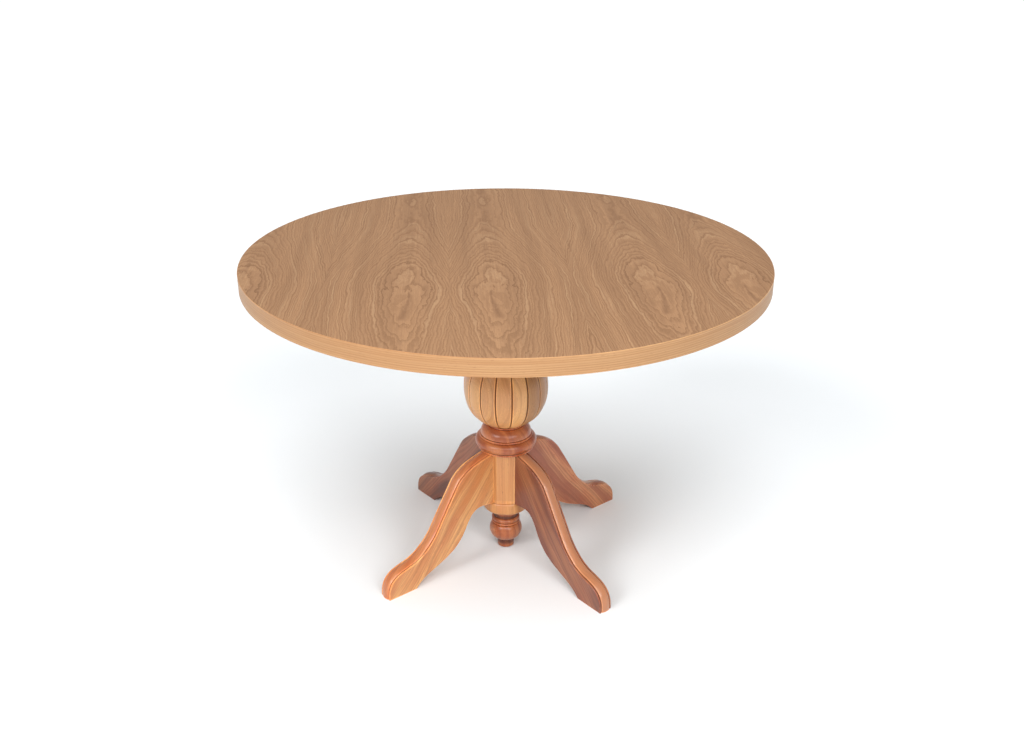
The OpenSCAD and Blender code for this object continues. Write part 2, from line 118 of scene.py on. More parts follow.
# %% Node helper
class Bench:
    """Lays nodes in one node tree."""

    def __init__(self, tree):
        self.tree = tree

    def feed(self, socket, value):
        if isinstance(value, bpy.types.NodeSocket):
            self.tree.links.new(value, socket)
        else:
            socket.default_value = value

    def node(self, kind, inputs=None, **settings):
        made = self.tree.nodes.new(kind)
        for name, value in settings.items():
            setattr(made, name, value)
        for name, value in (inputs or {}).items():
            self.feed(made.inputs[name], value)
        return made

    def math(self, operation, *values):
        made = self.node("ShaderNodeMath", operation=operation)
        for socket, value in zip(made.inputs, values):
            self.feed(socket, value)
        return made.outputs["Value"]

    def total(self, first, *others):
        for other in others:
            first = self.math("ADD", first, other)
        return first

    def product(self, first, *others):
        for other in others:
            first = self.math("MULTIPLY", first, other)
        return first

    def ramp(self, value, low, high, to_low=0.0, to_high=1.0):
        """Takes value from low..high to to_low..to_high with a smooth start and end."""
        made = self.node("ShaderNodeMapRange", interpolation_type="SMOOTHSTEP")
        for name, what in (
            ("Value", value), ("From Min", low), ("From Max", high),
            ("To Min", to_low), ("To Max", to_high),
        ):
            self.feed(made.inputs[name], what)
        return made.outputs["Result"]

    def mix(self, share, start, end, how="MIX"):
        made = self.node("ShaderNodeMix", data_type="RGBA", blend_type=how)
        self.feed(made.inputs[0], share)
        self.feed(made.inputs[6], start)
        self.feed(made.inputs[7], end)
        return made.outputs[2]

    def split(self, vector):
        return self.node("ShaderNodeSeparateXYZ", {"Vector": vector}).outputs

    def join(self, x, y, z):
        return self.node("ShaderNodeCombineXYZ", {"X": x, "Y": y, "Z": z}).outputs["Vector"]

    def stretch(self, vector, scale):
        """Scales a place by three numbers, which sets the size of a pattern along each axis."""
        made = self.node("ShaderNodeVectorMath", {0: vector, 1: scale}, operation="MULTIPLY")
        return made.outputs["Vector"]

    def noise(self, vector, detail=2.0, roughness=0.5):
        made = self.node(
            "ShaderNodeTexNoise",
            {"Vector": vector, "Scale": 1.0, "Detail": detail, "Roughness": roughness},
        )
        return made.outputs["Fac"]

    def sway(self, vector, detail=2.0, roughness=0.5):
        """Noise that goes as far below zero as above it."""
        return self.math("SUBTRACT", self.noise(vector, detail, roughness), 0.5)


def shader_group(name, inputs, outputs):
    """A new node group with named sockets, its bench, what comes in and where it goes out."""
    tree = bpy.data.node_groups.new(name, "ShaderNodeTree")
    for title, kind, value in inputs:
        socket = tree.interface.new_socket(title, in_out="INPUT", socket_type="NodeSocket" + kind)
        socket.default_value = value
    for title, kind in outputs:
        tree.interface.new_socket(title, in_out="OUTPUT", socket_type="NodeSocket" + kind)
    bench = Bench(tree)
    return bench, bench.node("NodeGroupInput").outputs, bench.node("NodeGroupOutput").inputs


def place_group(bench, name, inputs):
    return bench.node("ShaderNodeGroup", inputs, node_tree=bpy.data.node_groups[name]).outputs


def tone(red, green, blue):
    """A colour given as it looks, on the 0 to 255 scale, turned into the light it reflects."""
    return tuple(((c / 255 + 0.055) / 1.055) ** 2.4 for c in (red, green, blue)) + (1.0,)


# %% [markdown]
# ## Fibres and pores
# All wood is a bundle of tubes. Close up, the fibres are fine streaks along the grain, and the
# pores are short dark scratches where tubes are cut open. The first group makes both. It takes a
# place whose Z runs along the grain, so noise squeezed along X and Y and drawn out along Z streaks.

# %% Fibre group
bench, given, out = shader_group(
    "wood_fibres",
    [("Place", "Vector", (0, 0, 0)), ("Seed", "Float", 0.0)],
    [("Fibre", "Float"), ("Pores", "Float")],
)
x, y, z = bench.split(given["Place"])
seeded = bench.join(x, y, bench.math("ADD", z, given["Seed"]))
fine = bench.noise(bench.stretch(seeded, (900, 900, 22)), 2.0, 0.6)
coarse = bench.noise(bench.stretch(seeded, (260, 260, 5)), 2.0, 0.55)
bench.feed(out["Fibre"], bench.total(bench.product(fine, 0.5), bench.product(coarse, 0.5)))
cut_tubes = bench.noise(bench.stretch(seeded, (1500, 1500, 90)), 1.0, 0.4)
crowded = bench.ramp(coarse, 0.42, 0.6)
bench.feed(out["Pores"], bench.product(bench.ramp(cut_tubes, 0.6, 0.72), crowded))
print("group wood_fibres:", len(bench.tree.nodes), "nodes")

# %% [markdown]
# ## Growth rings
# A ring is one year's wood: a dark, open line laid down in spring, then denser wood that pales
# slowly. The second group turns a distance into such a line. It doesn't care how the distance was
# found, so flat veneer and solid blocks can share it. Slow noise makes some years wide or dark.

# %% Ring group
bench, given, out = shader_group(
    "growth_rings",
    [("Distance", "Float", 0.0), ("Ring Width", "Float", 0.004), ("Seed", "Float", 0.0)],
    [("Line", "Float")],
)
years = bench.math("DIVIDE", given["Distance"], given["Ring Width"])
slow = bench.noise(bench.join(bench.product(years, 0.37), given["Seed"], 0.0), 1.0)
uneven = bench.total(years, bench.product(slow, 1.6))
part_of_year = bench.math("FRACT", uneven)
spring = bench.ramp(part_of_year, 0.0, 0.12)
fading = bench.ramp(part_of_year, 0.12, 0.8, 1.0, 0.0)
strength = bench.noise(bench.join(bench.product(years, 0.81), given["Seed"], 7.0), 1.0)
bench.feed(out["Line"], bench.product(spring, fading, bench.ramp(strength, 0.3, 0.65, 0.3, 1.0)))
print("group growth_rings:", len(bench.tree.nodes), "nodes")

# %% [markdown]
# ## Solid hardwood
# In a solid block the rings are tubes round the tree's heart, which usually lies outside the
# block. The distance from that heart, bent by slow noise, goes into the ring group, so a face cut
# along the grain shows stripes and arches, and an end shows curves, and they meet at every arris.
# Broad streaks of redder wood run along the grain, with narrow dark ones and a blush here and there.

# %% Solid wood group
bench, given, out = shader_group(
    "solid_wood",
    [
        ("Place", "Vector", (0, 0, 0)), ("Heart", "Vector", (0.09, 0.05, 0.0)),
        ("Ring Width", "Float", 0.004), ("Seed", "Float", 0.0),
        ("Light Wood", "Color", tone(216, 160, 105)), ("Dark Wood", "Color", tone(170, 110, 70)),
        ("Streak Wood", "Color", tone(190, 110, 70)), ("Streaks", "Float", 0.5),
        ("Ring Contrast", "Float", 0.5),
    ],
    [("Color", "Color"), ("Height", "Float"), ("Roughness", "Float")],
)
x, y, z = bench.split(given["Place"])
seeded = bench.join(x, y, bench.math("ADD", z, given["Seed"]))
bend = bench.sway(bench.stretch(seeded, (9, 9, 2.6)))
ripple = bench.sway(bench.stretch(seeded, (45, 45, 7)))
heart = bench.split(given["Heart"])
across = bench.math("SUBTRACT", x, heart[0])
through = bench.math("SUBTRACT", y, heart[1])
squares = bench.total(bench.product(across, across), bench.product(through, through))
distance = bench.total(
    bench.math("SQRT", squares), bench.product(bend, 0.045), bench.product(ripple, 0.006)
)
rings = place_group(
    bench, "growth_rings",
    {"Distance": distance, "Ring Width": given["Ring Width"], "Seed": given["Seed"]},
)
fibres = place_group(bench, "wood_fibres", {"Place": given["Place"], "Seed": given["Seed"]})
wood = bench.mix(
    bench.product(rings["Line"], given["Ring Contrast"]), given["Light Wood"], given["Dark Wood"]
)
ribbon = bench.noise(bench.join(bench.product(distance, 55), bench.product(z, 1.5), given["Seed"]), 3.0)
streak = bench.product(bench.ramp(ribbon, 0.42, 0.62), given["Streaks"])
wood = bench.mix(streak, wood, given["Streak Wood"])
cloud = bench.noise(bench.stretch(seeded, (26, 26, 7)), 3.0, 0.6)
blush = bench.product(bench.ramp(cloud, 0.46, 0.7), given["Streaks"], 0.7)
wood = bench.mix(blush, wood, bench.mix(1.0, wood, (0.86, 0.6, 0.52, 1), "MULTIPLY"))
ray = bench.noise(bench.join(bench.product(distance, 150), bench.product(z, 2.2), given["Seed"]), 2.0)
wood = bench.mix(bench.ramp(ray, 0.5, 0.7, 0.0, 0.55), wood, given["Dark Wood"])
wood = bench.mix(bench.ramp(fibres["Fibre"], 0.3, 0.7, 0.42, 0.0), wood, given["Dark Wood"])
wood = bench.mix(bench.product(fibres["Pores"], 0.55), wood, tone(92, 50, 30))
bench.feed(out["Color"], wood)
bench.feed(
    out["Height"],
    bench.math("SUBTRACT", bench.product(fibres["Fibre"], 0.5), bench.product(fibres["Pores"], 1.0)),
)
bench.feed(
    out["Roughness"],
    bench.total(0.24, bench.product(fibres["Fibre"], 0.14), bench.product(rings["Line"], 0.06)),
)
print("group solid_wood:", len(bench.tree.nodes), "nodes")

# %% [markdown]
# ## Pale arrises and dark hollows: partly wear, partly painted highlight and painted shade
# Sanding between coats cuts through the colour on every arris, and lacquer and dust settle in the
# quirks. The pale line painted along each arris is partly that wear and partly a painted highlight,
# and the dark painted into each quirk and groove is partly that settled finish and partly painted
# shade. Each mesh carries a number called relief: above zero on an arris, below zero in a hollow.
# This group reads it, breaks it up with noise so that no line is perfectly even, and shifts the
# colour and the roughness.

# %% Relief group
bench, given, out = shader_group(
    "wear_and_painted_light",
    [
        ("Color", "Color", (0.5, 0.3, 0.2, 1)), ("Roughness", "Float", 0.4),
        ("Place", "Vector", (0, 0, 0)), ("Wear And Highlight", "Float", 0.5), ("Settling And Shade", "Float", 0.7),
    ],
    [("Color", "Color"), ("Roughness", "Float")],
)
relief = bench.node("ShaderNodeAttribute", attribute_name="relief").outputs["Fac"]
patches = bench.ramp(bench.noise(bench.stretch(given["Place"], (70, 70, 70)), 3.0, 0.6), 0.3, 0.65)
# Pale arrises: partly sanding wear, partly a painted highlight.
worn_and_highlit = bench.product(
    bench.ramp(relief, 0.05, 0.7), bench.total(0.45, bench.product(patches, 0.55)), given["Wear And Highlight"]
)
# Dark hollows: partly settled lacquer and dust, partly painted shade in quirks and grooves.
settled_and_shaded = bench.product(bench.ramp(relief, -0.05, -0.6), given["Settling And Shade"])
paler = bench.mix(1.0, given["Color"], (1.5, 1.5, 1.45, 1), "MULTIPLY")
darker = bench.mix(1.0, given["Color"], (0.25, 0.17, 0.13, 1), "MULTIPLY")
colour = bench.mix(settled_and_shaded, bench.mix(worn_and_highlit, given["Color"], paler), darker)
bench.feed(out["Color"], colour)
bench.feed(
    out["Roughness"],
    bench.total(given["Roughness"], bench.product(worn_and_highlit, -0.08), bench.product(settled_and_shaded, 0.2)),
)
print("group wear_and_painted_light:", len(bench.tree.nodes), "nodes")

# %% [markdown]
# ## A finish for each timber
# A material joins the groups: where the grain runs, which timber, how pale its arrises and how dark
# its hollows are made (partly wear, partly painted highlight and painted shade), and a thin bump for
# the pores. Satin lacquer is a clear coat over the wood, thin and not quite smooth, so a lamp shows
# in it as a wide soft patch. The grain's direction is a turn that brings it onto Z. No two legs come
# from the same plank, so each has its own timber.

# %% Hardwood finish
def new_material(name):
    material = bpy.data.materials.new(name)
    material.use_nodes = True
    bench = Bench(material.node_tree)
    return material, bench, bench.tree.nodes["Principled BSDF"]


def pore_bump(bench, shader, height, depth):
    bump = bench.node("ShaderNodeBump", {"Height": height, "Strength": 0.6, "Distance": depth})
    bench.feed(shader.inputs["Normal"], bump.outputs["Normal"])


def hardwood(name, light, dark, streak, grain_turn=(0, 0, 0), heart=(0.09, 0.05, 0), ring=4.0 * mm,
             seed=0.0, streaks=0.5, contrast=0.5, wear_and_highlight=0.6, settling_and_shade=0.9, lacquer=0.25,
             staves=False, crown=None):
    """A lacquered solid timber.

    With staves set, the mesh says how much each of a glued-up blank's staves is browned; that
    browning is partly the staves' own colour and partly painted shade on the bulb's right side.
    crown is the colour mixed in where the moulding is cut into the edge of a leg: partly the wood's
    own tone and partly painted light, a painted highlight where it is paler and painted shade where
    it is darker.
    """
    material, bench, shader = new_material(name)
    place = bench.node("ShaderNodeTexCoord").outputs["Object"]
    turned_place = bench.node(
        "ShaderNodeMapping", {"Vector": place, "Rotation": tuple(map(math.radians, grain_turn))}
    ).outputs["Vector"]
    wood = place_group(bench, "solid_wood", {
        "Place": turned_place, "Heart": heart, "Ring Width": ring, "Seed": seed,
        "Light Wood": light, "Dark Wood": dark, "Streak Wood": streak, "Streaks": streaks,
        "Ring Contrast": contrast,
    })
    colour = wood["Color"]
    # Browner staves: partly their own colour, partly painted shade on the bulb's right side.
    if staves:
        stave_tone_and_side_shade = bench.node("ShaderNodeAttribute", attribute_name="stave_tone_and_side_shade").outputs["Fac"]
        browned_and_shaded = bench.mix(1.0, colour, (0.48, 0.42, 0.35, 1), "MULTIPLY")
        colour = bench.mix(stave_tone_and_side_shade, colour, browned_and_shaded)
    # On the crown the colour moves towards the crown tone: partly the wood's own tone, partly painted
    # light.
    if crown:
        on_crown = bench.node("ShaderNodeAttribute", attribute_name="crown").outputs["Fac"]
        crown_tone_and_painted_light = bench.mix(0.6, colour, crown)
        colour = bench.mix(on_crown, colour, crown_tone_and_painted_light)
    # Pale arrises and dark hollows from relief: partly wear, partly painted highlight and painted shade.
    edges = place_group(bench, "wear_and_painted_light", {
        "Color": colour, "Roughness": wood["Roughness"], "Place": place,
        "Wear And Highlight": wear_and_highlight, "Settling And Shade": settling_and_shade,
    })
    bench.feed(shader.inputs["Base Color"], edges["Color"])
    bench.feed(shader.inputs["Roughness"], edges["Roughness"])
    shader.inputs["Coat Weight"].default_value = lacquer
    shader.inputs["Coat Roughness"].default_value = 0.3
    pore_bump(bench, shader, wood["Height"], 0.12 * mm)
    return material


# %% [markdown]
# The legs' grain slants down along them, as a plank is laid out for a curved leg, so that little
# of the leg is short in the grain and weak. In the turned pieces and the column it stands upright,
# and in the bearers it lies flat.

# %% Timbers
timbers = {
    "turned_red_wood": hardwood(
        "turned_red_wood", tone(200, 122, 72), tone(136, 68, 38), tone(160, 82, 46), seed=3.1,
        streaks=0.9, contrast=0.15, wear_and_highlight=0.8, lacquer=0.3
    ),
    "bulb_wood": hardwood(
        "bulb_wood", tone(238, 180, 114), tone(186, 122, 72), tone(212, 144, 90), seed=5.7,
        contrast=0.35, wear_and_highlight=1.0, settling_and_shade=0.8, lacquer=0.2, staves=True
    ),
    "column_wood": hardwood(
        "column_wood", tone(214, 154, 94), tone(176, 113, 65), tone(197, 131, 79), seed=8.3,
        heart=(0.3, -0.1, 0), contrast=0.4
    ),
    "golden_leg_wood": hardwood(
        "golden_leg_wood", tone(236, 178, 114), tone(164, 98, 56), tone(206, 130, 74), seed=2.2,
        grain_turn=(0, 40, 0), heart=(0.05, 0.3, 0), streaks=0.9, wear_and_highlight=1.0,
        # Darker, redder crown: partly the wood's own tone, partly painted shade on the crown.
        crown=tone(182, 98, 60), lacquer=0.25
    ),
    "red_leg_wood": hardwood(
        "red_leg_wood", tone(166, 106, 72), tone(84, 48, 34), tone(116, 64, 46), seed=9.4,
        grain_turn=(0, 40, 0), heart=(0.05, 0.3, 0), streaks=1.0, contrast=0.5, lacquer=0.2
    ),
    "back_right_leg_wood": hardwood(
        "back_right_leg_wood", tone(214, 146, 98), tone(122, 68, 44), tone(164, 92, 62), seed=15.1,
        grain_turn=(0, 40, 0), heart=(0.05, 0.3, 0), streaks=1.0, contrast=0.5, lacquer=0.2
    ),
    "front_right_leg_wood": hardwood(
        "front_right_leg_wood", tone(168, 104, 68), tone(90, 50, 34), tone(122, 64, 46), seed=12.8,
        grain_turn=(0, 40, 0), heart=(0.05, 0.3, 0), streaks=1.0, contrast=0.5, wear_and_highlight=1.0,
        # Paler crown: partly the wood's own tone, partly a painted highlight on the crown.
        crown=tone(206, 140, 98), lacquer=0.35
    ),
    "bearer_wood": hardwood(
        "bearer_wood", tone(190, 138, 98), tone(156, 104, 68), tone(170, 112, 74), seed=1.4,
        grain_turn=(0, 90, 0)
    ),
    "cross_bearer_wood": hardwood(
        "cross_bearer_wood", tone(190, 138, 98), tone(156, 104, 68), tone(170, 112, 74), seed=4.4,
        grain_turn=(90, 0, 0)
    ),
    "dowel_wood": hardwood(
        "dowel_wood", tone(212, 180, 138), tone(190, 152, 108), tone(200, 164, 120), seed=6.6,
        grain_turn=(0, 90, 0), lacquer=0.0
    ),
}
print("timbers:", sorted(timbers))

# %% [markdown]
# ## The oak face
# Crown-cut veneer is sliced off the side of a log, so each leaf shows nested arches where the
# knife ran through the rings almost flat. Slices that follow each other are opened like the
# pages of a book, so every second leaf is a mirror image, and the figure repeats across the top.
# The arches are the level lines of one surface: how deep in the log the knife was at each spot.
# That depth rises towards the leaf's edges and along its length, waves with the log, and has one
# bump where a branch was, which gives the closed loops of the eye with a dark trail below it.

# %% Crown figure group
bench, given, out = shader_group(
    "crown_figure",
    [
        ("Across", "Float", 0.0), ("Along", "Float", 0.0), ("Eye Across", "Float", 0.04),
        ("Eye Along", "Float", -0.2), ("Slice", "Float", 0.0), ("Ring Width", "Float", 0.0044),
        ("Light Oak", "Color", tone(167, 127, 91)), ("Dark Oak", "Color", tone(114, 81, 54)),
    ],
    [("Color", "Color"), ("Height", "Float"), ("Roughness", "Float")],
)
drift = bench.sway(
    bench.join(bench.product(given["Along"], 3.0), bench.product(given["Slice"], 0.08), 2.0), 1.0
)
from_eye = bench.total(given["Across"], bench.product(given["Eye Across"], -1.0),
                       bench.product(drift, 0.03))
past_eye = bench.math("SUBTRACT", given["Along"], given["Eye Along"])
slice_shift = bench.product(given["Slice"], 0.06)
jag = bench.sway(
    bench.join(bench.product(from_eye, 36), bench.product(past_eye, 13), slice_shift), 4.0, 0.62
)
wave = bench.sway(
    bench.join(bench.product(from_eye, 9), bench.product(past_eye, 3.2), slice_shift), 1.0
)
crown_bend = 70 * mm
side = bench.math("SQRT", bench.total(bench.product(from_eye, from_eye), crown_bend ** 2))
straight_from, blend = 0.42, 0.2
risen = bench.math("SMOOTH_MIN", past_eye, straight_from, blend)
eye_bend = 40 * mm
both_ways = bench.math("SQRT", bench.total(bench.product(risen, risen), eye_bend ** 2))
climb = bench.total(bench.product(risen, 0.04), bench.product(both_ways, 0.12))
eye_half_w, eye_half_l = 48 * mm, 85 * mm
wide = bench.math("DIVIDE", from_eye, eye_half_w)
tall = bench.math("DIVIDE", past_eye, eye_half_l)
spread = bench.total(bench.product(wide, wide), bench.product(tall, tall))
bump = bench.math("EXPONENT", bench.product(spread, -1.0))
depth = bench.total(
    side, climb, bench.product(bump, 0.013), bench.product(jag, 0.015), bench.product(wave, 0.012)
)
rings = place_group(
    bench, "growth_rings",
    {"Distance": depth, "Ring Width": given["Ring Width"], "Seed": 4.0},
)
place = bench.join(given["Across"], bench.product(given["Slice"], 0.3), given["Along"])
fibres = place_group(bench, "wood_fibres", {"Place": place, "Seed": given["Slice"]})
bands = bench.noise(
    bench.join(bench.product(given["Across"], 26), bench.product(given["Along"], 1.1), slice_shift), 3.0
)
lines = bench.noise(
    bench.join(bench.product(depth, 300), bench.product(given["Along"], 2.0), slice_shift), 2.0
)
trail_bend = bench.product(bench.math("SINE", bench.product(past_eye, 16.0)), 0.007)
off_trail = bench.math("ABSOLUTE", bench.math("SUBTRACT", from_eye, trail_bend))
trail_width = bench.ramp(past_eye, -0.06, -0.16, 0.004, 0.011)
trail = bench.product(
    bench.ramp(off_trail, 0.0, trail_width, 1.0, 0.0),
    bench.ramp(past_eye, -0.035, -0.05), bench.ramp(past_eye, -0.21, -0.19),
)
near_eye = bench.ramp(spread, 4.0, 0.5)
line_strength = bench.total(0.58, bench.product(near_eye, 0.12))
oak = bench.mix(bench.product(rings["Line"], line_strength), given["Light Oak"], given["Dark Oak"])
oak = bench.mix(bench.ramp(bands, 0.35, 0.68, 0.0, 0.28), oak, given["Dark Oak"])
oak = bench.mix(bench.ramp(lines, 0.52, 0.72, 0.0, 0.4), oak, tone(192, 156, 118))
oak = bench.mix(bench.ramp(fibres["Fibre"], 0.32, 0.68, 0.4, 0.0), oak, tone(114, 80, 56))
oak = bench.mix(bench.product(fibres["Pores"], 0.5), oak, tone(96, 62, 42))
oak = bench.mix(bench.product(trail, 0.4), oak, tone(104, 70, 46))
bench.feed(out["Color"], oak)
bench.feed(
    out["Height"],
    bench.math("SUBTRACT", bench.product(fibres["Fibre"], 0.4), bench.product(fibres["Pores"], 1.0)),
)
bench.feed(out["Roughness"], bench.total(0.5, bench.product(rings["Line"], 0.08)))
print("group crown_figure:", len(bench.tree.nodes), "nodes")

# %% [markdown]
# The leaves lie side by side across the grain. Each gets its own material, with the figure
# turned with the grain, mirrored on every second leaf, and shifted a little, because the knife
# has gone one slice deeper into the log.

# %% Face leaves
grain_turn = math.radians(9)
leaf_width = 0.264
eye_along = -0.198


def leaf_material(place):
    """The finish of one leaf, counted from -2 to 2 across the top."""
    material, bench, shader = new_material(f"face_veneer_leaf_{place + 3}")
    lengthwise = bench.node("ShaderNodeMapping", {
        "Vector": bench.node("ShaderNodeTexCoord").outputs["Object"],
        "Rotation": (0, 0, -grain_turn),
    }).outputs["Vector"]
    across, along, _ = bench.split(lengthwise)
    mirror = -1 if place % 2 else 1
    in_leaf = bench.product(bench.math("SUBTRACT", across, place * leaf_width), mirror)
    figure = place_group(bench, "crown_figure", {
        "Across": in_leaf, "Along": along,
        "Eye Across": -0.036 + 0.004 * place, "Eye Along": eye_along + 0.003 * place,
        "Slice": float(place),
    })
    bench.feed(shader.inputs["Base Color"], figure["Color"])
    bench.feed(shader.inputs["Roughness"], figure["Roughness"])
    shader.inputs["Specular IOR Level"].default_value = 0.3
    pore_bump(bench, shader, figure["Height"], 0.1 * mm)
    return material


for number in range(1, 6):
    leaf = frame["nodes"][f"face_leaf_{number}"]
    leaf.data.materials.clear()
    leaf.data.materials.append(leaf_material(number - 3))
print("face leaves:", number)

# %% [markdown]
# ## The edge band and the hidden boards
# The band is a strip of straight-grained oak ironed round the rim, so its grain runs round the
# table. Its mesh carries the distance along the strip, which the shader uses as the grain's
# direction. Under the top there is a plain backing veneer, and the core is raw fibreboard.

# %% Band finish
def band_material():
    material, bench, shader = new_material("edge_veneer")
    strip = bench.node("ShaderNodeAttribute", attribute_name="strip").outputs["Vector"]
    fibres = place_group(bench, "wood_fibres", {"Place": strip, "Seed": 11.0})
    across, _, along = bench.split(strip)
    sway = bench.noise(bench.join(0.5, 3.0, bench.product(along, 2.2)), 2.0)
    distance = bench.total(across, bench.product(sway, 0.02))
    rings = place_group(
        bench, "growth_rings", {"Distance": distance, "Ring Width": 4.6 * mm, "Seed": 2.0}
    )
    bands = bench.noise(bench.join(bench.product(distance, 90), bench.product(along, 1.2), 5.0), 2.0)
    oak = bench.mix(bench.product(rings["Line"], 0.7), tone(186, 145, 102), tone(138, 93, 56))
    oak = bench.mix(bench.ramp(bands, 0.38, 0.66, 0.0, 0.5), oak, tone(166, 119, 77))
    oak = bench.mix(bench.ramp(fibres["Fibre"], 0.32, 0.68, 0.3, 0.0), oak, tone(146, 98, 60))
    oak = bench.mix(bench.product(fibres["Pores"], 0.5), oak, tone(124, 80, 48))
    # The band's arrises are paled and its hollows darkened: partly wear, partly painted highlight and
    # shade.
    edges = place_group(bench, "wear_and_painted_light", {
        "Color": oak, "Roughness": 0.45, "Place": strip, "Wear And Highlight": 0.8, "Settling And Shade": 0.6,
    })
    bench.feed(shader.inputs["Base Color"], edges["Color"])
    bench.feed(shader.inputs["Roughness"], edges["Roughness"])
    shader.inputs["Specular IOR Level"].default_value = 0.35
    height = bench.math("SUBTRACT", fibres["Fibre"], fibres["Pores"])
    pore_bump(bench, shader, height, 0.1 * mm)
    return material


# %% [markdown]
# The hidden boards are seen only from below or in an exploded view, but they get a grain or specks
# all the same. Metal has fine marks round Z, left by the tool that turned it.

# %% Board and metal finishes
def board_material(name, light, dark, grain):
    """A flat board: fibreboard has specks all round, and a backing veneer has a plain grain."""
    material, bench, shader = new_material(name)
    place = bench.node("ShaderNodeTexCoord").outputs["Object"]
    specks = bench.noise(bench.stretch(place, grain), 4.0, 0.65)
    cloud = bench.noise(bench.stretch(place, (6, 6, 6)), 2.0)
    colour = bench.mix(bench.ramp(specks, 0.35, 0.65), light, dark)
    colour = bench.mix(bench.ramp(cloud, 0.3, 0.7, 0.0, 0.3), colour, dark)
    bench.feed(shader.inputs["Base Color"], colour)
    bench.feed(shader.inputs["Roughness"], bench.total(0.6, bench.product(specks, 0.2)))
    pore_bump(bench, shader, specks, 0.1 * mm)
    return material


def metal(name, light, dark, brushing, base_roughness):
    """Plated or machined metal with fine turning marks round Z and a few dull patches."""
    material, bench, shader = new_material(name)
    place = bench.node("ShaderNodeTexCoord").outputs["Object"]
    marks = bench.noise(bench.stretch(place, brushing), 3.0, 0.6)
    patches = bench.noise(bench.stretch(place, (120, 120, 120)), 3.0)
    bench.feed(shader.inputs["Base Color"], bench.mix(bench.ramp(patches, 0.4, 0.65), light, dark))
    bench.feed(
        shader.inputs["Roughness"],
        bench.total(base_roughness, bench.product(marks, 0.15), bench.product(patches, 0.1)),
    )
    shader.inputs["Metallic"].default_value = 1.0
    pore_bump(bench, shader, marks, 0.03 * mm)
    return material


finishes = dict(timbers)
finishes["edge_veneer"] = band_material()
finishes["backing_veneer"] = board_material(
    "backing_veneer", tone(176, 152, 128), tone(148, 124, 100), (300, 8, 300)
)
finishes["fibreboard"] = board_material(
    "fibreboard", tone(176, 140, 104), tone(134, 100, 70), (900, 900, 900)
)
finishes["zinc_steel"] = metal(
    "zinc_steel", tone(205, 206, 204), tone(170, 172, 170), (200, 200, 2500), 0.28
)
finishes["brass"] = metal("brass", tone(214, 184, 110), tone(176, 146, 80), (200, 200, 2500), 0.25)
for node, piece in frame["nodes"].items():
    if slot_of[node] in finishes:
        piece.data.materials.clear()
        piece.data.materials.append(finishes[slot_of[node]])
frame["nodes"]["bearer_cross"].data.materials[0] = finishes["cross_bearer_wood"]
print("finishes:", sorted(finishes))

# %% [markdown]
# ## Soft arrises on the planed pieces
# The boards and the hardware keep the frame's own meshes, and so do the bearers and the head
# plate. Planed timber never has a knife edge, so a bevel modifier takes a millimetre off every
# arris of those three. The faces of a frame mesh aren't joined, so a weld comes first.

# %% Eased frame pieces
planed_arris = 1.0 * mm


def ease(piece):
    piece.modifiers.new("weld", "WELD").merge_threshold = 0.01 * mm
    bevel = piece.modifiers.new("ease", "BEVEL")
    bevel.width = planed_arris
    bevel.segments = 2
    bevel.limit_method = "ANGLE"
    bevel.angle_limit = math.radians(30)
    bevel.use_clamp_overlap = True
    bevel.harden_normals = True


for node in ("bearer_long", "bearer_cross", "head_plate"):
    ease(frame["nodes"][node])
print("eased: bearers and head plate")

# %% [markdown]
# ## From a bench mesh to a finished piece
# Every new piece goes through the same steps: close it, find its arrises and hollows, shade it,
# give it its finish, and put it in place of the frame's plain solid. Relief is read from the mesh
# itself: on an arris the neighbours of a point lie behind its surface, and in a hollow before it.

# %% Finishing helper
def mark_relief(shape):
    layer = shape.verts.layers.float.new("relief")
    for vert in shape.verts:
        lean = 0.0
        for edge in vert.link_edges:
            towards = edge.other_vert(vert).co - vert.co
            lean = max(lean, towards.normalized().dot(vert.normal), key=abs)
        sharp = max(abs(lean) - 0.08, 0.0) * 6
        vert[layer] = -math.copysign(min(sharp, 1.0), lean)


def finished_piece(name, shape, replaced, turn=0.0, finish=None):
    """Turns a bench mesh into a piece that stands for a frame node."""
    bmesh.ops.remove_doubles(shape, verts=shape.verts, dist=0.001 * mm)
    bmesh.ops.recalc_face_normals(shape, faces=shape.faces)
    shape.normal_update()
    mark_relief(shape)
    open_edges = sum(not edge.is_manifold for edge in shape.edges)
    mesh = bpy.data.meshes.new(name)
    shape.to_mesh(mesh)
    shape.free()
    mesh.shade_smooth()
    mesh.set_sharp_from_angle(angle=math.radians(50))
    mesh.materials.append(finishes[finish or slot_of[replaced]])
    piece = bpy.data.objects.new(name, mesh)
    piece.rotation_euler.z = turn
    bpy.context.scene.collection.objects.link(piece)
    weighted = piece.modifiers.new("flat faces stay flat", "WEIGHTED_NORMAL")
    weighted.keep_sharp = True
    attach(piece, "root")
    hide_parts(replaced)
    print(f"{name}: {len(mesh.polygons)} faces, {open_edges} open edges")
    return piece


# %% [markdown]
# ## Skins and the lathe
# Every piece here is a row of rings of points with a skin of faces between each ring and the next.
# A row that comes back to its start is closed already, and any other gets a face on each end.
# A turned piece is one outline spun round the axis. The outline is a closed loop of points, each a
# radius and a height, and it goes down the bore for the tie rod as well, so the piece is a true
# solid. Round members are arcs, and a small helper lays points along an arc.

# %% Skin and lathe
def join_rings(shape, rings, closed=True):
    row = list(zip(rings, rings[1:] + rings[:1] if closed else rings[1:]))
    for here, there in row:
        for a in range(len(here)):
            b = (a + 1) % len(here)
            shape.faces.new((here[a], here[b], there[b], there[a]))
    if not closed:
        shape.faces.new(rings[0])
        shape.faces.new(rings[-1])


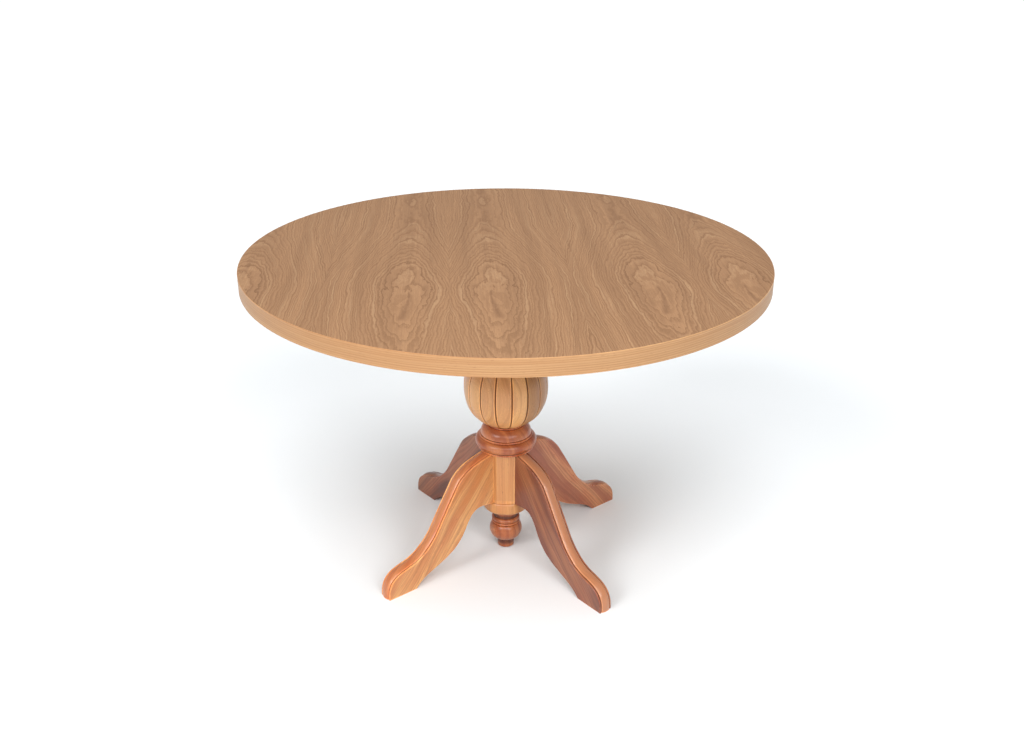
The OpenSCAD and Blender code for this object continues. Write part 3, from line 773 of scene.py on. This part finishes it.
def arc(centre_r, centre_z, radius, start, end, points=10):
    """Points on an arc from one angle to another, in degrees from straight out, going up."""
    return [
        (centre_r + radius * math.cos(math.radians(start + (end - start) * i / points)),
         centre_z + radius * math.sin(math.radians(start + (end - start) * i / points)))
        for i in range(points + 1)
    ]


def spin(name, outline, replaced, facets=160):
    shape = bmesh.new()
    rings = []
    for i in range(facets):
        turn = 2 * math.pi * i / facets
        rings.append([
            shape.verts.new((r * math.cos(turn), r * math.sin(turn), z)) for r, z in outline
        ])
    join_rings(shape, rings)
    return finished_piece(name, shape, replaced)


# %% [markdown]
# ## The collar
# The collar carries the bulb and caps the column. From the bottom it is a low square fillet, a
# large round, a thin bead, a bulging cushion that narrows upwards, and a small fillet under the
# bulb. Each member meets the next in a quirk, a narrow cut that throws a dark line. The tenon
# below sits in the column's cavity, and the peg above sits in the bulb.

# %% Collar
quirk = 1.0 * mm
peg_r = 22 * mm
peg_top_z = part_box("collar")[1].z
tenon_r = 30.8 * mm
tenon_foot_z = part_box("collar")[0].z
collar_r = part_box("collar")[1].x
foot_fillet_r = collar_r - 7 * mm
foot_fillet_h = 4 * mm
round_r = 14 * mm
round_at = collar_r - round_r
round_z = column_top_z + foot_fillet_h
bead_z = round_z + 2 * round_r
bead_r = 2.25 * mm
cushion_foot_r = 63.5 * mm
cushion_top_r = 48 * mm
cushion_bulge = 3.5 * mm
fillet_r = 46 * mm
fillet_h = 4 * mm
cushion_z = bead_z + 2 * bead_r
cushion_top_z = bulb_foot_z - fillet_h


def bulged(foot, top, bulge, points=10):
    """Points up a side that bulges out from the straight line between two radii."""
    return [
        (foot[0] + (top[0] - foot[0]) * t + bulge * math.sin(math.pi * t),
         foot[1] + (top[1] - foot[1]) * t + 0.4 * bulge * math.sin(math.pi * t))
        for t in (i / points for i in range(points + 1))
    ]


collar_outline = (
    [(bore_r, tenon_foot_z), (tenon_r - quirk, tenon_foot_z), (tenon_r, tenon_foot_z + quirk),
     (tenon_r, column_top_z), (foot_fillet_r - 0.6 * mm, column_top_z),
     (foot_fillet_r, column_top_z + 0.6 * mm), (foot_fillet_r, round_z - 0.4 * mm),
     (foot_fillet_r - 1.2 * mm, round_z + 0.6 * mm)]
    + arc(round_at, round_z + round_r, round_r, -58, 88, 22)
    + [(cushion_foot_r - 1.6 * mm, bead_z - 0.3 * mm), (cushion_foot_r - 2 * mm, bead_z + 0.5 * mm)]
    + arc(cushion_foot_r - 0.2 * mm, bead_z + bead_r, bead_r, -70, 70, 8)
    + [(cushion_foot_r - 1.8 * mm, cushion_z + 0.2 * mm),
       (cushion_foot_r - 1.8 * mm, cushion_z + 1 * mm)]
    + bulged((cushion_foot_r - 0.8 * mm, cushion_z + 1.4 * mm),
             (cushion_top_r, cushion_top_z - 0.3 * mm), cushion_bulge, 12)
    + [(fillet_r - 1.2 * mm, cushion_top_z - 0.2 * mm)]
    + arc(fillet_r - fillet_h / 2, (cushion_top_z + bulb_foot_z) / 2, fillet_h / 2, -78, 78, 6)
    + [(fillet_r - 2.2 * mm, bulb_foot_z), (peg_r, bulb_foot_z), (peg_r, peg_top_z - quirk),
       (peg_r - quirk, peg_top_z), (bore_r, peg_top_z)]
)
spin("turned_collar", collar_outline, "collar")

# %% [markdown]
# ## The base ring
# The ring under the column is a thick disc with two rounded edges. It hides the joint between the
# column and the finial, and its tenon keeps it centred.

# %% Base ring
ring_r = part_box("base_ring")[1].x
ring_edge_r = 9 * mm
edge_at = ring_r - ring_edge_r
ring_tenon_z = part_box("base_ring")[1].z
ring_outline = (
    [(bore_r, ring_foot_z)]
    + arc(edge_at, ring_foot_z + ring_edge_r, ring_edge_r, -90, 0, 10)
    + arc(edge_at, column_foot_z - ring_edge_r, ring_edge_r, 0, 90, 10)
    + [(tenon_r, column_foot_z), (tenon_r, ring_tenon_z - quirk), (tenon_r - quirk, ring_tenon_z),
       (bore_r, ring_tenon_z)]
)
spin("rounded_base_ring", ring_outline, "base_ring")

# %% [markdown]
# ## The drop finial
# The finial hangs just clear of the floor. From the bottom it is a plug, a full round bulb, a
# narrow cut, a ring with a groove near its lower edge, and a narrow neck. A pocket in its top takes
# the tie rod's nut, and a threaded insert below that takes the rod's end.

# %% Finial
finial_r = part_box("finial")[1].x
finial_section_r = 28 * mm
finial_mid_z = finial_foot_z + 49 * mm
plug_r = 21 * mm
finial_ring_r = 35.5 * mm
finial_ring_z = finial_mid_z + 21 * mm
finial_ring_top_z = finial_ring_z + 18 * mm
finial_cut = 2 * mm
finial_neck_r = 30 * mm
plug_arris_r = 2 * mm
low_bead_r = 2 * mm
high_round_r = 6 * mm
groove_z = finial_ring_z + 5 * mm
groove_half_w = 0.5 * mm
groove_cut = 1.6 * mm
nut_room = 3 * mm
rod_end_room = 4 * mm
insert_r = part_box("finial_insert")[1].x
insert_low_z, insert_high_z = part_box("finial_insert")[0].z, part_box("finial_insert")[1].z
pocket_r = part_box("tie_washers")[1].x + nut_room
rod_foot_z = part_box("tie_rod")[0].z
bulb_centre_r = finial_r - finial_section_r
lowest = -math.degrees(math.acos((plug_r - bulb_centre_r) / finial_section_r))
highest = math.degrees(math.asin((finial_ring_z - finial_cut - finial_mid_z) / finial_section_r))
finial_outline = (
    [(0.0, finial_foot_z), (plug_r - plug_arris_r, finial_foot_z)]
    + arc(plug_r - plug_arris_r, finial_foot_z + plug_arris_r, plug_arris_r, -80, 0, 4)
    + arc(bulb_centre_r, finial_mid_z, finial_section_r, lowest, highest, 22)
    + [(finial_neck_r, finial_ring_z - finial_cut), (finial_neck_r, finial_ring_z)]
    + arc(finial_ring_r - low_bead_r, groove_z - groove_half_w - low_bead_r, low_bead_r, -75, 60, 6)
    + [(finial_ring_r - groove_cut, groove_z)]
    + arc(finial_ring_r - high_round_r, groove_z + groove_half_w + high_round_r, high_round_r,
          -65, 75, 12)
    + [(finial_neck_r, finial_ring_top_z), (finial_neck_r, ring_foot_z),
       (pocket_r, ring_foot_z), (pocket_r, insert_high_z), (insert_r, insert_high_z),
       (insert_r, insert_low_z), (bore_r, insert_low_z), (bore_r, rod_foot_z - rod_end_room),
       (0.0, rod_foot_z - rod_end_room)]
)
spin("drop_finial", finial_outline, "finial")

# %% [markdown]
# ## The neck
# Between the bulb and the plate the pedestal narrows to a neck with a round at each end and a cap.
# It is in the top's shadow, so it is turned plainly.

# %% Neck
neck_r = 38 * mm
neck_round_r = 8 * mm
neck_round_h = 2 * neck_round_r
neck_cap_h = 18 * mm
cap_round_r = 3 * mm
cap_arris_r = 1 * mm
neck_peg_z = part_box("neck_turning")[1].z
cap_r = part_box("neck_turning")[1].x
cap_z = plate_foot_z - neck_cap_h
socket_top_z = neck_foot_z + peg_socket_depth
socket_r = peg_r + loose_fit
round_centre = neck_r + neck_round_r / 2
neck_outline = (
    [(bore_r, socket_top_z), (socket_r, socket_top_z), (socket_r, neck_foot_z)]
    + arc(round_centre, neck_foot_z + neck_round_r, neck_round_r, -90, 85, 12)
    + [(neck_r + 1.5 * mm, neck_foot_z + neck_round_h + 0.6 * mm),
       (neck_r, neck_foot_z + neck_round_h + 5 * mm),
       (neck_r, cap_z - neck_round_h - 5 * mm),
       (neck_r + 1.5 * mm, cap_z - neck_round_h - 0.6 * mm)]
    + arc(round_centre, cap_z - neck_round_r, neck_round_r, -85, 85, 12)
    + [(round_centre + 1 * mm, cap_z - 0.2 * mm), (cap_r - cap_round_r, cap_z)]
    + arc(cap_r - cap_round_r, cap_z + cap_round_r, cap_round_r, -80, 0, 5)
    + arc(cap_r - cap_arris_r, plate_foot_z - cap_arris_r, cap_arris_r, 0, 80, 3)
    + [(peg_r, plate_foot_z), (peg_r, neck_peg_z - quirk), (peg_r - quirk, neck_peg_z),
       (bore_r, neck_peg_z)]
)
spin("turned_neck", neck_outline, "neck_turning")

# %% [markdown]
# ## The fluted bulb
# The blank is glued up from staves. Four of them, on the right as seen from the front, are made
# browner than the rest: partly their own colour, partly painted shade on the bulb's right side.
# The bulb is turned first, on one full curve, and then sixteen grooves are cut up its side.
# The wood between two grooves is left slightly rounded, like the segments of a gourd. A groove
# keeps its width all the way, so in the mesh its points sit at a fixed distance from its middle,
# and the points of the round between two grooves share out what is left.

# %% Fluted bulb
bulb_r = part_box("fluted_bulb")[1].x
bulb_end_r = 37.5 * mm
bulb_fullness = 2.3
bulb_peg_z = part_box("fluted_bulb")[1].z
groove_count = 16
groove_half = 2.2 * mm
groove_depth = 2.8 * mm
lobe_rise = 0.7 * mm
first_groove = math.radians(-76)
shades = random.Random(4)
# Flutes 1 to 4, on the bulb's right side, get a strong browning: partly stave colour, partly painted
# shade.
stave_brown_and_side_shade = [0.9 if 1 <= flute <= 4 else 0.35 * shades.random() for flute in range(groove_count)]
bulb_mid_z = (bulb_foot_z + neck_foot_z) / 2
end_share = (bulb_end_r / bulb_r) ** bulb_fullness
bulb_half = (neck_foot_z - bulb_mid_z) / (1 - end_share) ** (1 / bulb_fullness)


def bulb_side(level):
    """Radius at a level, and the direction straight out of the side there."""
    up = (level - bulb_mid_z) / bulb_half
    radius = (bulb_r - lobe_rise) * (1 - abs(up) ** bulb_fullness) ** (1 / bulb_fullness)
    out_r = (radius / bulb_r) ** (bulb_fullness - 1) / bulb_r
    out_z = math.copysign(abs(up) ** (bulb_fullness - 1), up) / bulb_half
    size = math.hypot(out_r, out_z)
    return radius, out_r / size, out_z / size


def bulb_ring(shape, level, flat_end):
    """One level of the bulb: for each groove its V, then the rounded wood up to the next one."""
    radius, out_r, out_z = bulb_side(level)
    if flat_end:
        out_r, out_z = 1.0, 0.0
    pitch = 2 * math.pi / groove_count
    half = groove_half / radius
    steps = [(-1, 0), (-0.8, -0.25), (-0.4, -0.85), (0, -1), (0.4, -0.85), (0.8, -0.25), (1, 0)]
    verts = []
    stave_and_shade_layer = shape.verts.layers.float["stave_tone_and_side_shade"]
    for flute in range(groove_count):
        middle = first_groove + flute * pitch
        places = [(middle + side * half, depth * groove_depth) for side, depth in steps]
        for i in range(1, 12):
            share = i / 12
            rise = lobe_rise * math.sin(math.pi * share) ** 0.8
            places.append((middle + half + share * (pitch - 2 * half), rise))
        for turn, lift in places:
            r, z = radius + lift * out_r, level + lift * out_z
            vert = shape.verts.new((r * math.cos(turn), r * math.sin(turn), z))
            vert[stave_and_shade_layer] = stave_brown_and_side_shade[flute]
            verts.append(vert)
    return verts


def plain_ring(shape, like, radius, level):
    """A round ring with the same points as another one, at its own radius and level."""
    verts = []
    for vert in like:
        turn = math.atan2(vert.co.y, vert.co.x)
        verts.append(shape.verts.new((radius * math.cos(turn), radius * math.sin(turn), level)))
    return verts


# %% [markdown]
# The levels are spaced by a sine, close together at the two ends, where the side turns in fastest.
# At the top a peg stands up into the neck. At the foot is the socket for the collar's peg, and the
# tie rod's bore goes through between them.

# %% Bulb mesh
shape = bmesh.new()
shape.verts.layers.float.new("stave_tone_and_side_shade")
level_count = 72
side_rings = []
for i in range(level_count + 1):
    climb = math.sin(math.pi * (i / level_count - 0.5))
    height = bulb_mid_z + climb * (neck_foot_z - bulb_mid_z)
    side_rings.append(bulb_ring(shape, height, i in (0, level_count)))
inner = [
    (peg_r, neck_foot_z), (peg_r, bulb_peg_z - quirk), (peg_r - quirk, bulb_peg_z),
    (bore_r, bulb_peg_z), (bore_r, bulb_foot_z + peg_socket_depth),
    (socket_r, bulb_foot_z + peg_socket_depth), (socket_r, bulb_foot_z),
]
inner_rings = [plain_ring(shape, side_rings[0], radius, level) for radius, level in inner]
join_rings(shape, side_rings + inner_rings)
finished_piece("bulb_with_flutes", shape, "fluted_bulb")

# %% [markdown]
# ## The column
# The column is eight-sided and hollow, glued up from staves, and its flats are turned a few
# degrees from the legs. Its arrises are eased by a plane stroke, which here is a small arc at each
# corner of the outline.

# %% Column
column_flat_r = 55 * mm
cavity_flat_r = 31 * mm
column_turn = math.radians(5.5)
corner_ease = 1.6 * mm


def octagon_ring(shape, flat_r, level, ease_r, turn):
    """Eight corners, each three points on a small arc, at a distance to the flats."""
    verts = []
    for corner in range(8):
        middle = turn + math.radians(22.5 + 45 * corner)
        reach = (flat_r - ease_r) / math.cos(math.radians(22.5))
        for swing in (-22.5, -7.5, 7.5, 22.5):
            out = middle + math.radians(swing)
            verts.append(shape.verts.new((
                reach * math.cos(middle) + ease_r * math.cos(out),
                reach * math.sin(middle) + ease_r * math.sin(out),
                level,
            )))
    return verts


shape = bmesh.new()
end_ease = 0.8 * mm
column_levels = [column_foot_z + end_ease + i / 12 * (column_top_z - column_foot_z - 2 * end_ease)
                 for i in range(13)]
rings = [octagon_ring(shape, column_flat_r - end_ease, column_foot_z, corner_ease, column_turn)]
rings += [octagon_ring(shape, column_flat_r, level, corner_ease, column_turn)
          for level in column_levels]
rings += [
    octagon_ring(shape, column_flat_r - end_ease, column_top_z, corner_ease, column_turn),
    octagon_ring(shape, cavity_flat_r, column_top_z, 0.5 * mm, 0.0),
    octagon_ring(shape, cavity_flat_r, column_foot_z, 0.5 * mm, 0.0),
]
join_rings(shape, rings)
finished_piece("eight_sided_column", shape, "column")

# %% [markdown]
# ## The legs
# Each leg is sawn from a thick plank along two curves, an upper one and an under one, and then a
# moulding is cut along the upper edge: a narrow ledge on each side, a quirk, and a shallow crown
# between them. In the mesh a leg is a row of cross-sections. Each section stands on one point of
# the upper curve and the matching point of the under curve, so the moulding bends with the leg
# and runs down the front of the toe to the floor.

# %% Leg curves
crown_h = 3.0 * mm
crown_half_w = 11.0 * mm
root_r = column_flat_r - 7 * mm
toe_r = 372 * mm
heel_r = 291 * mm
ledge_reach = toe_r - crown_h - column_flat_r
under_h = column_foot_z + 2 * mm
ledge_shares = [
    (0, 1), (0.16, 0.953), (0.242, 0.913), (0.318, 0.846), (0.385, 0.735), (0.481, 0.562),
    (0.57, 0.408), (0.668, 0.302), (0.755, 0.25), (0.843, 0.223), (0.92, 0.192),
    (0.972, 0.14), (0.996, 0.074), (1, 0),
]
under_shares = [
    (0, 0.98), (0.128, 1.007), (0.208, 0.997), (0.276, 0.928), (0.33, 0.81), (0.398, 0.62),
    (0.49, 0.454), (0.608, 0.336), (0.736, 0.247), (0.863, 0.163), (0.941, 0.089), (1, 0),
]


def even_curve(points, count, fine=12):
    """A smooth curve through the points, as count + 1 evenly spaced points."""
    line = []
    for i in range(len(points) - 1):
        a, b = points[max(i - 1, 0)], points[i]
        c, d = points[i + 1], points[min(i + 2, len(points) - 1)]
        for step in range(fine):
            t = step / fine
            line.append(0.5 * (
                2 * b + (c - a) * t + (2 * a - 5 * b + 4 * c - d) * t ** 2
                + (3 * b - a - 3 * c + d) * t ** 3
            ))
    line.append(points[-1])
    travelled = [0.0]
    for here, there in zip(line, line[1:]):
        travelled.append(travelled[-1] + (there - here).length)
    even, at = [], 0
    for i in range(count + 1):
        goal = travelled[-1] * i / count
        while at < len(line) - 2 and travelled[at + 1] < goal:
            at += 1
        share = (goal - travelled[at]) / (travelled[at + 1] - travelled[at])
        even.append(line[at].lerp(line[at + 1], min(share, 1.0)))
    return even


stations = 110
upper_curve = even_curve(
    [Vector((column_flat_r + u * ledge_reach, v * column_top_z)) for u, v in ledge_shares], stations
)
under_curve = even_curve(
    [Vector((column_flat_r + u * (heel_r - column_flat_r), v * under_h)) for u, v in under_shares],
    stations,
)
print("toe at", round(upper_curve[-1].x, 3), "heel at", round(under_curve[-1].x, 3))

# %% [markdown]
# A cross-section is a list of places across the leg. A place on the upper edge has a lift above
# the ledge, and a place on the under edge has a distance in from that edge.

# %% Leg section
ledge_profile = [
    (17.5, -3.0), (17.5, -1.2), (17.1, -0.35), (16.3, 0.0), (14.2, 0.0), (13.6, -0.3),
    (13.3, -2.2), (12.2, -2.2), (11.9, -0.6), (11.6, 0.2), (11.0, 0.8),
]
under_profile = [(16.4, 0.0), (17.2, 0.35), (17.5, 1.1), (17.5, 3.0)]
crown_points = 10
crown_fall = 2.1 * mm
crown_edge = 12 * mm


def crown_lift(across):
    return crown_h - crown_fall * (across / crown_half_w) ** 2


right_under = [("under", across * mm, inset * mm) for across, inset in under_profile]
right_ledge = [("upper", across * mm, lift * mm) for across, lift in ledge_profile]
crown = []
for i in range(1, crown_points):
    across = crown_half_w * (1 - 2 * i / crown_points)
    crown.append(("upper", across, crown_lift(across)))
half_section = right_under + right_ledge
section = half_section + crown + [(edge, -across, lift) for edge, across, lift in reversed(half_section)]


# %% [markdown]
# The sections are joined into a leg. Its root goes past the column's flat and is then cut back to
# it with a plane, which is how a scribed joint is made, and a second cut levels the shoulder.

# %% Shaped legs
def leg_ring(shape, upper, under, out):
    """One cross-section; out is the direction straight out of the upper edge."""
    inward = (upper - under).normalized()
    crown_layer = shape.verts.layers.float["crown"]
    verts = []
    for edge, across, lift in section:
        spot = upper + out * lift if edge == "upper" else under + inward * lift
        vert = shape.verts.new((spot.x, across, max(spot.y, 0.0)))
        # The crown mark selects where the crown tone, partly painted light, is mixed in.
        vert[crown_layer] = 1.0 if edge == "upper" and abs(across) < crown_edge else 0.0
        verts.append(vert)
    return verts


def close_cut(shape, place, direction, keep_outside):
    """Cuts the leg with a plane and closes the cut."""
    cut = bmesh.ops.bisect_plane(
        shape, geom=shape.verts[:] + shape.edges[:] + shape.faces[:], plane_co=place,
        plane_no=direction, clear_inner=keep_outside, clear_outer=not keep_outside,
    )
    edges = [part for part in cut["geom_cut"] if isinstance(part, bmesh.types.BMEdge)]
    bmesh.ops.holes_fill(shape, edges=edges)


def shaped_leg(corner, turn):
    shape = bmesh.new()
    shape.verts.layers.float.new("crown")
    back = Vector((root_r - column_flat_r, 0))
    uppers = [upper_curve[0] + back] + upper_curve
    unders = [under_curve[0] + back] + under_curve
    rings = []
    for i, (upper, under) in enumerate(zip(uppers, unders)):
        along = uppers[min(i + 1, len(uppers) - 1)] - uppers[max(i - 1, 0)]
        out = Vector((-along.y, along.x)).normalized() if i < len(uppers) - 1 else Vector((1, 0))
        if i < 2:
            out = Vector((0, 1))
        rings.append(leg_ring(shape, upper, under, out))
    join_rings(shape, rings, closed=False)
    face_direction = Vector((math.cos(column_turn), math.sin(column_turn), 0))
    close_cut(shape, face_direction * column_flat_r, face_direction, True)
    close_cut(shape, Vector((0, 0, column_top_z)), Vector((0, 0, 1)), False)
    finish = f"{corner}_leg_wood" if f"{corner}_leg_wood" in finishes else None
    return finished_piece(f"shaped_leg_{corner}", shape, f"leg_{corner}", math.radians(turn), finish)


leg_turns = {"front_left": -135, "front_right": -45, "back_left": 135, "back_right": 45}
for corner, turn in leg_turns.items():
    shaped_leg(corner, turn)

# %% [markdown]
# ## The edge band
# The band goes once round the rim and meets itself in a butt joint at the front left, where the
# glue shows as a fine dark line. Its two arrises are sanded round so that they don't lift.

# %% Edge band
band_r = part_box("edge_band")[1].x
band_t = 1.0 * mm
arris_r = 0.5 * mm
joint_at = math.radians(-155)
joint_gap = 0.3 * mm
glue_line = 0.9 * mm
band_steps = 540


def band_section():
    """Radius and height of each point round the strip's thin section."""
    low = arc(band_r - arris_r, top_foot_z + arris_r, arris_r, -90, 0, 3)
    high = arc(band_r - arris_r, top_face_z - arris_r, arris_r, 0, 90, 3)
    side = [(band_r, top_foot_z + (top_face_z - top_foot_z) * i / 4) for i in (1, 2, 3)]
    return [(band_r - band_t, top_foot_z)] + low + side + high + [(band_r - band_t, top_face_z)]


shape = bmesh.new()
strip_layer = shape.verts.layers.float_vector.new("strip")
length = 2 * math.pi * band_r - joint_gap
stops = [0.0, glue_line] + [length * i / band_steps for i in range(1, band_steps)]
stops += [length - glue_line, length]
rings = []
for along in stops:
    turn = joint_at + (along + joint_gap / 2) / band_r
    ring = []
    for r, level in band_section():
        vert = shape.verts.new((r * math.cos(turn), r * math.sin(turn), level))
        vert[strip_layer] = (level - top_foot_z, band_r - r, along)
        ring.append(vert)
    rings.append(ring)
join_rings(shape, rings, closed=False)
band = finished_piece("edge_band_strip", shape, "edge_band")
relief = band.data.attributes["relief"].data
strip = band.data.attributes["strip"].data
for i in range(len(relief)):
    if min(strip[i].vector.z, length - strip[i].vector.z) < 0.5 * glue_line:
        relief[i].value = -0.5

# %% [markdown]
# ## The studio
# The floor is a wide pale sheet. A dim white surround lights everything a little from all round.
# Three far lamps do most of the rest: one overhead, and one from each side of the camera, low
# enough to reach under the top. A lamp with a wide angle throws a shadow with a soft edge. A
# softbox in front is near, so the front of the top gets more of its light than the back.

# %% Floor and light
floor_half = 30.0
shape = bmesh.new()
bmesh.ops.create_grid(shape, x_segments=12, y_segments=12, size=floor_half)
floor_mesh = bpy.data.meshes.new("studio_floor")
shape.to_mesh(floor_mesh)
shape.free()
floor = bpy.data.objects.new("studio_floor", floor_mesh)
bpy.context.scene.collection.objects.link(floor)
material, bench, shader = new_material("pale_floor")
place = bench.node("ShaderNodeTexCoord").outputs["Object"]
mottle = bench.noise(bench.stretch(place, (3, 3, 3)), 3.0)
pale = bench.mix(mottle, (0.85, 0.88, 0.90, 1), (0.87, 0.90, 0.92, 1))
bench.feed(shader.inputs["Base Color"], pale)
shader.inputs["Roughness"].default_value = 0.9
shader.inputs["Specular IOR Level"].default_value = 0.1
floor_mesh.materials.append(material)

world = bpy.data.worlds.new("white_surround")
world.use_nodes = True
world.node_tree.nodes["Background"].inputs["Color"].default_value = (1, 1, 1, 1)
world.node_tree.nodes["Background"].inputs["Strength"].default_value = 0.4
bpy.context.scene.world = world


def soft_lamp(name, from_right, elevation, strength, spread):
    """A far, wide lamp. from_right is its direction in degrees from the front, towards the right."""
    data = bpy.data.lights.new(name, "SUN")
    data.energy = strength
    data.angle = math.radians(spread)
    lamp = bpy.data.objects.new(name, data)
    lamp.rotation_euler = (math.radians(90 - elevation), 0, math.radians(from_right))
    bpy.context.scene.collection.objects.link(lamp)


soft_lamp("overhead_lamp", from_right=0, elevation=80, strength=1.4, spread=50)
soft_lamp("left_lamp", from_right=-42, elevation=33, strength=1.3, spread=24)
soft_lamp("right_lamp", from_right=36, elevation=33, strength=1.0, spread=24)

box_data = bpy.data.lights.new("front_softbox", "AREA")
box_data.shape = "DISK"
box_data.size = 1.2
box_data.energy = 25
softbox = bpy.data.objects.new("front_softbox", box_data)
softbox.location = (0.1, -1.9, 2.1)
aim = Vector((0, -0.2, 0.7)) - softbox.location
softbox.rotation_euler = aim.to_track_quat("-Z", "Y").to_euler()
bpy.context.scene.collection.objects.link(softbox)
print("lamps:", len(bpy.data.lights))
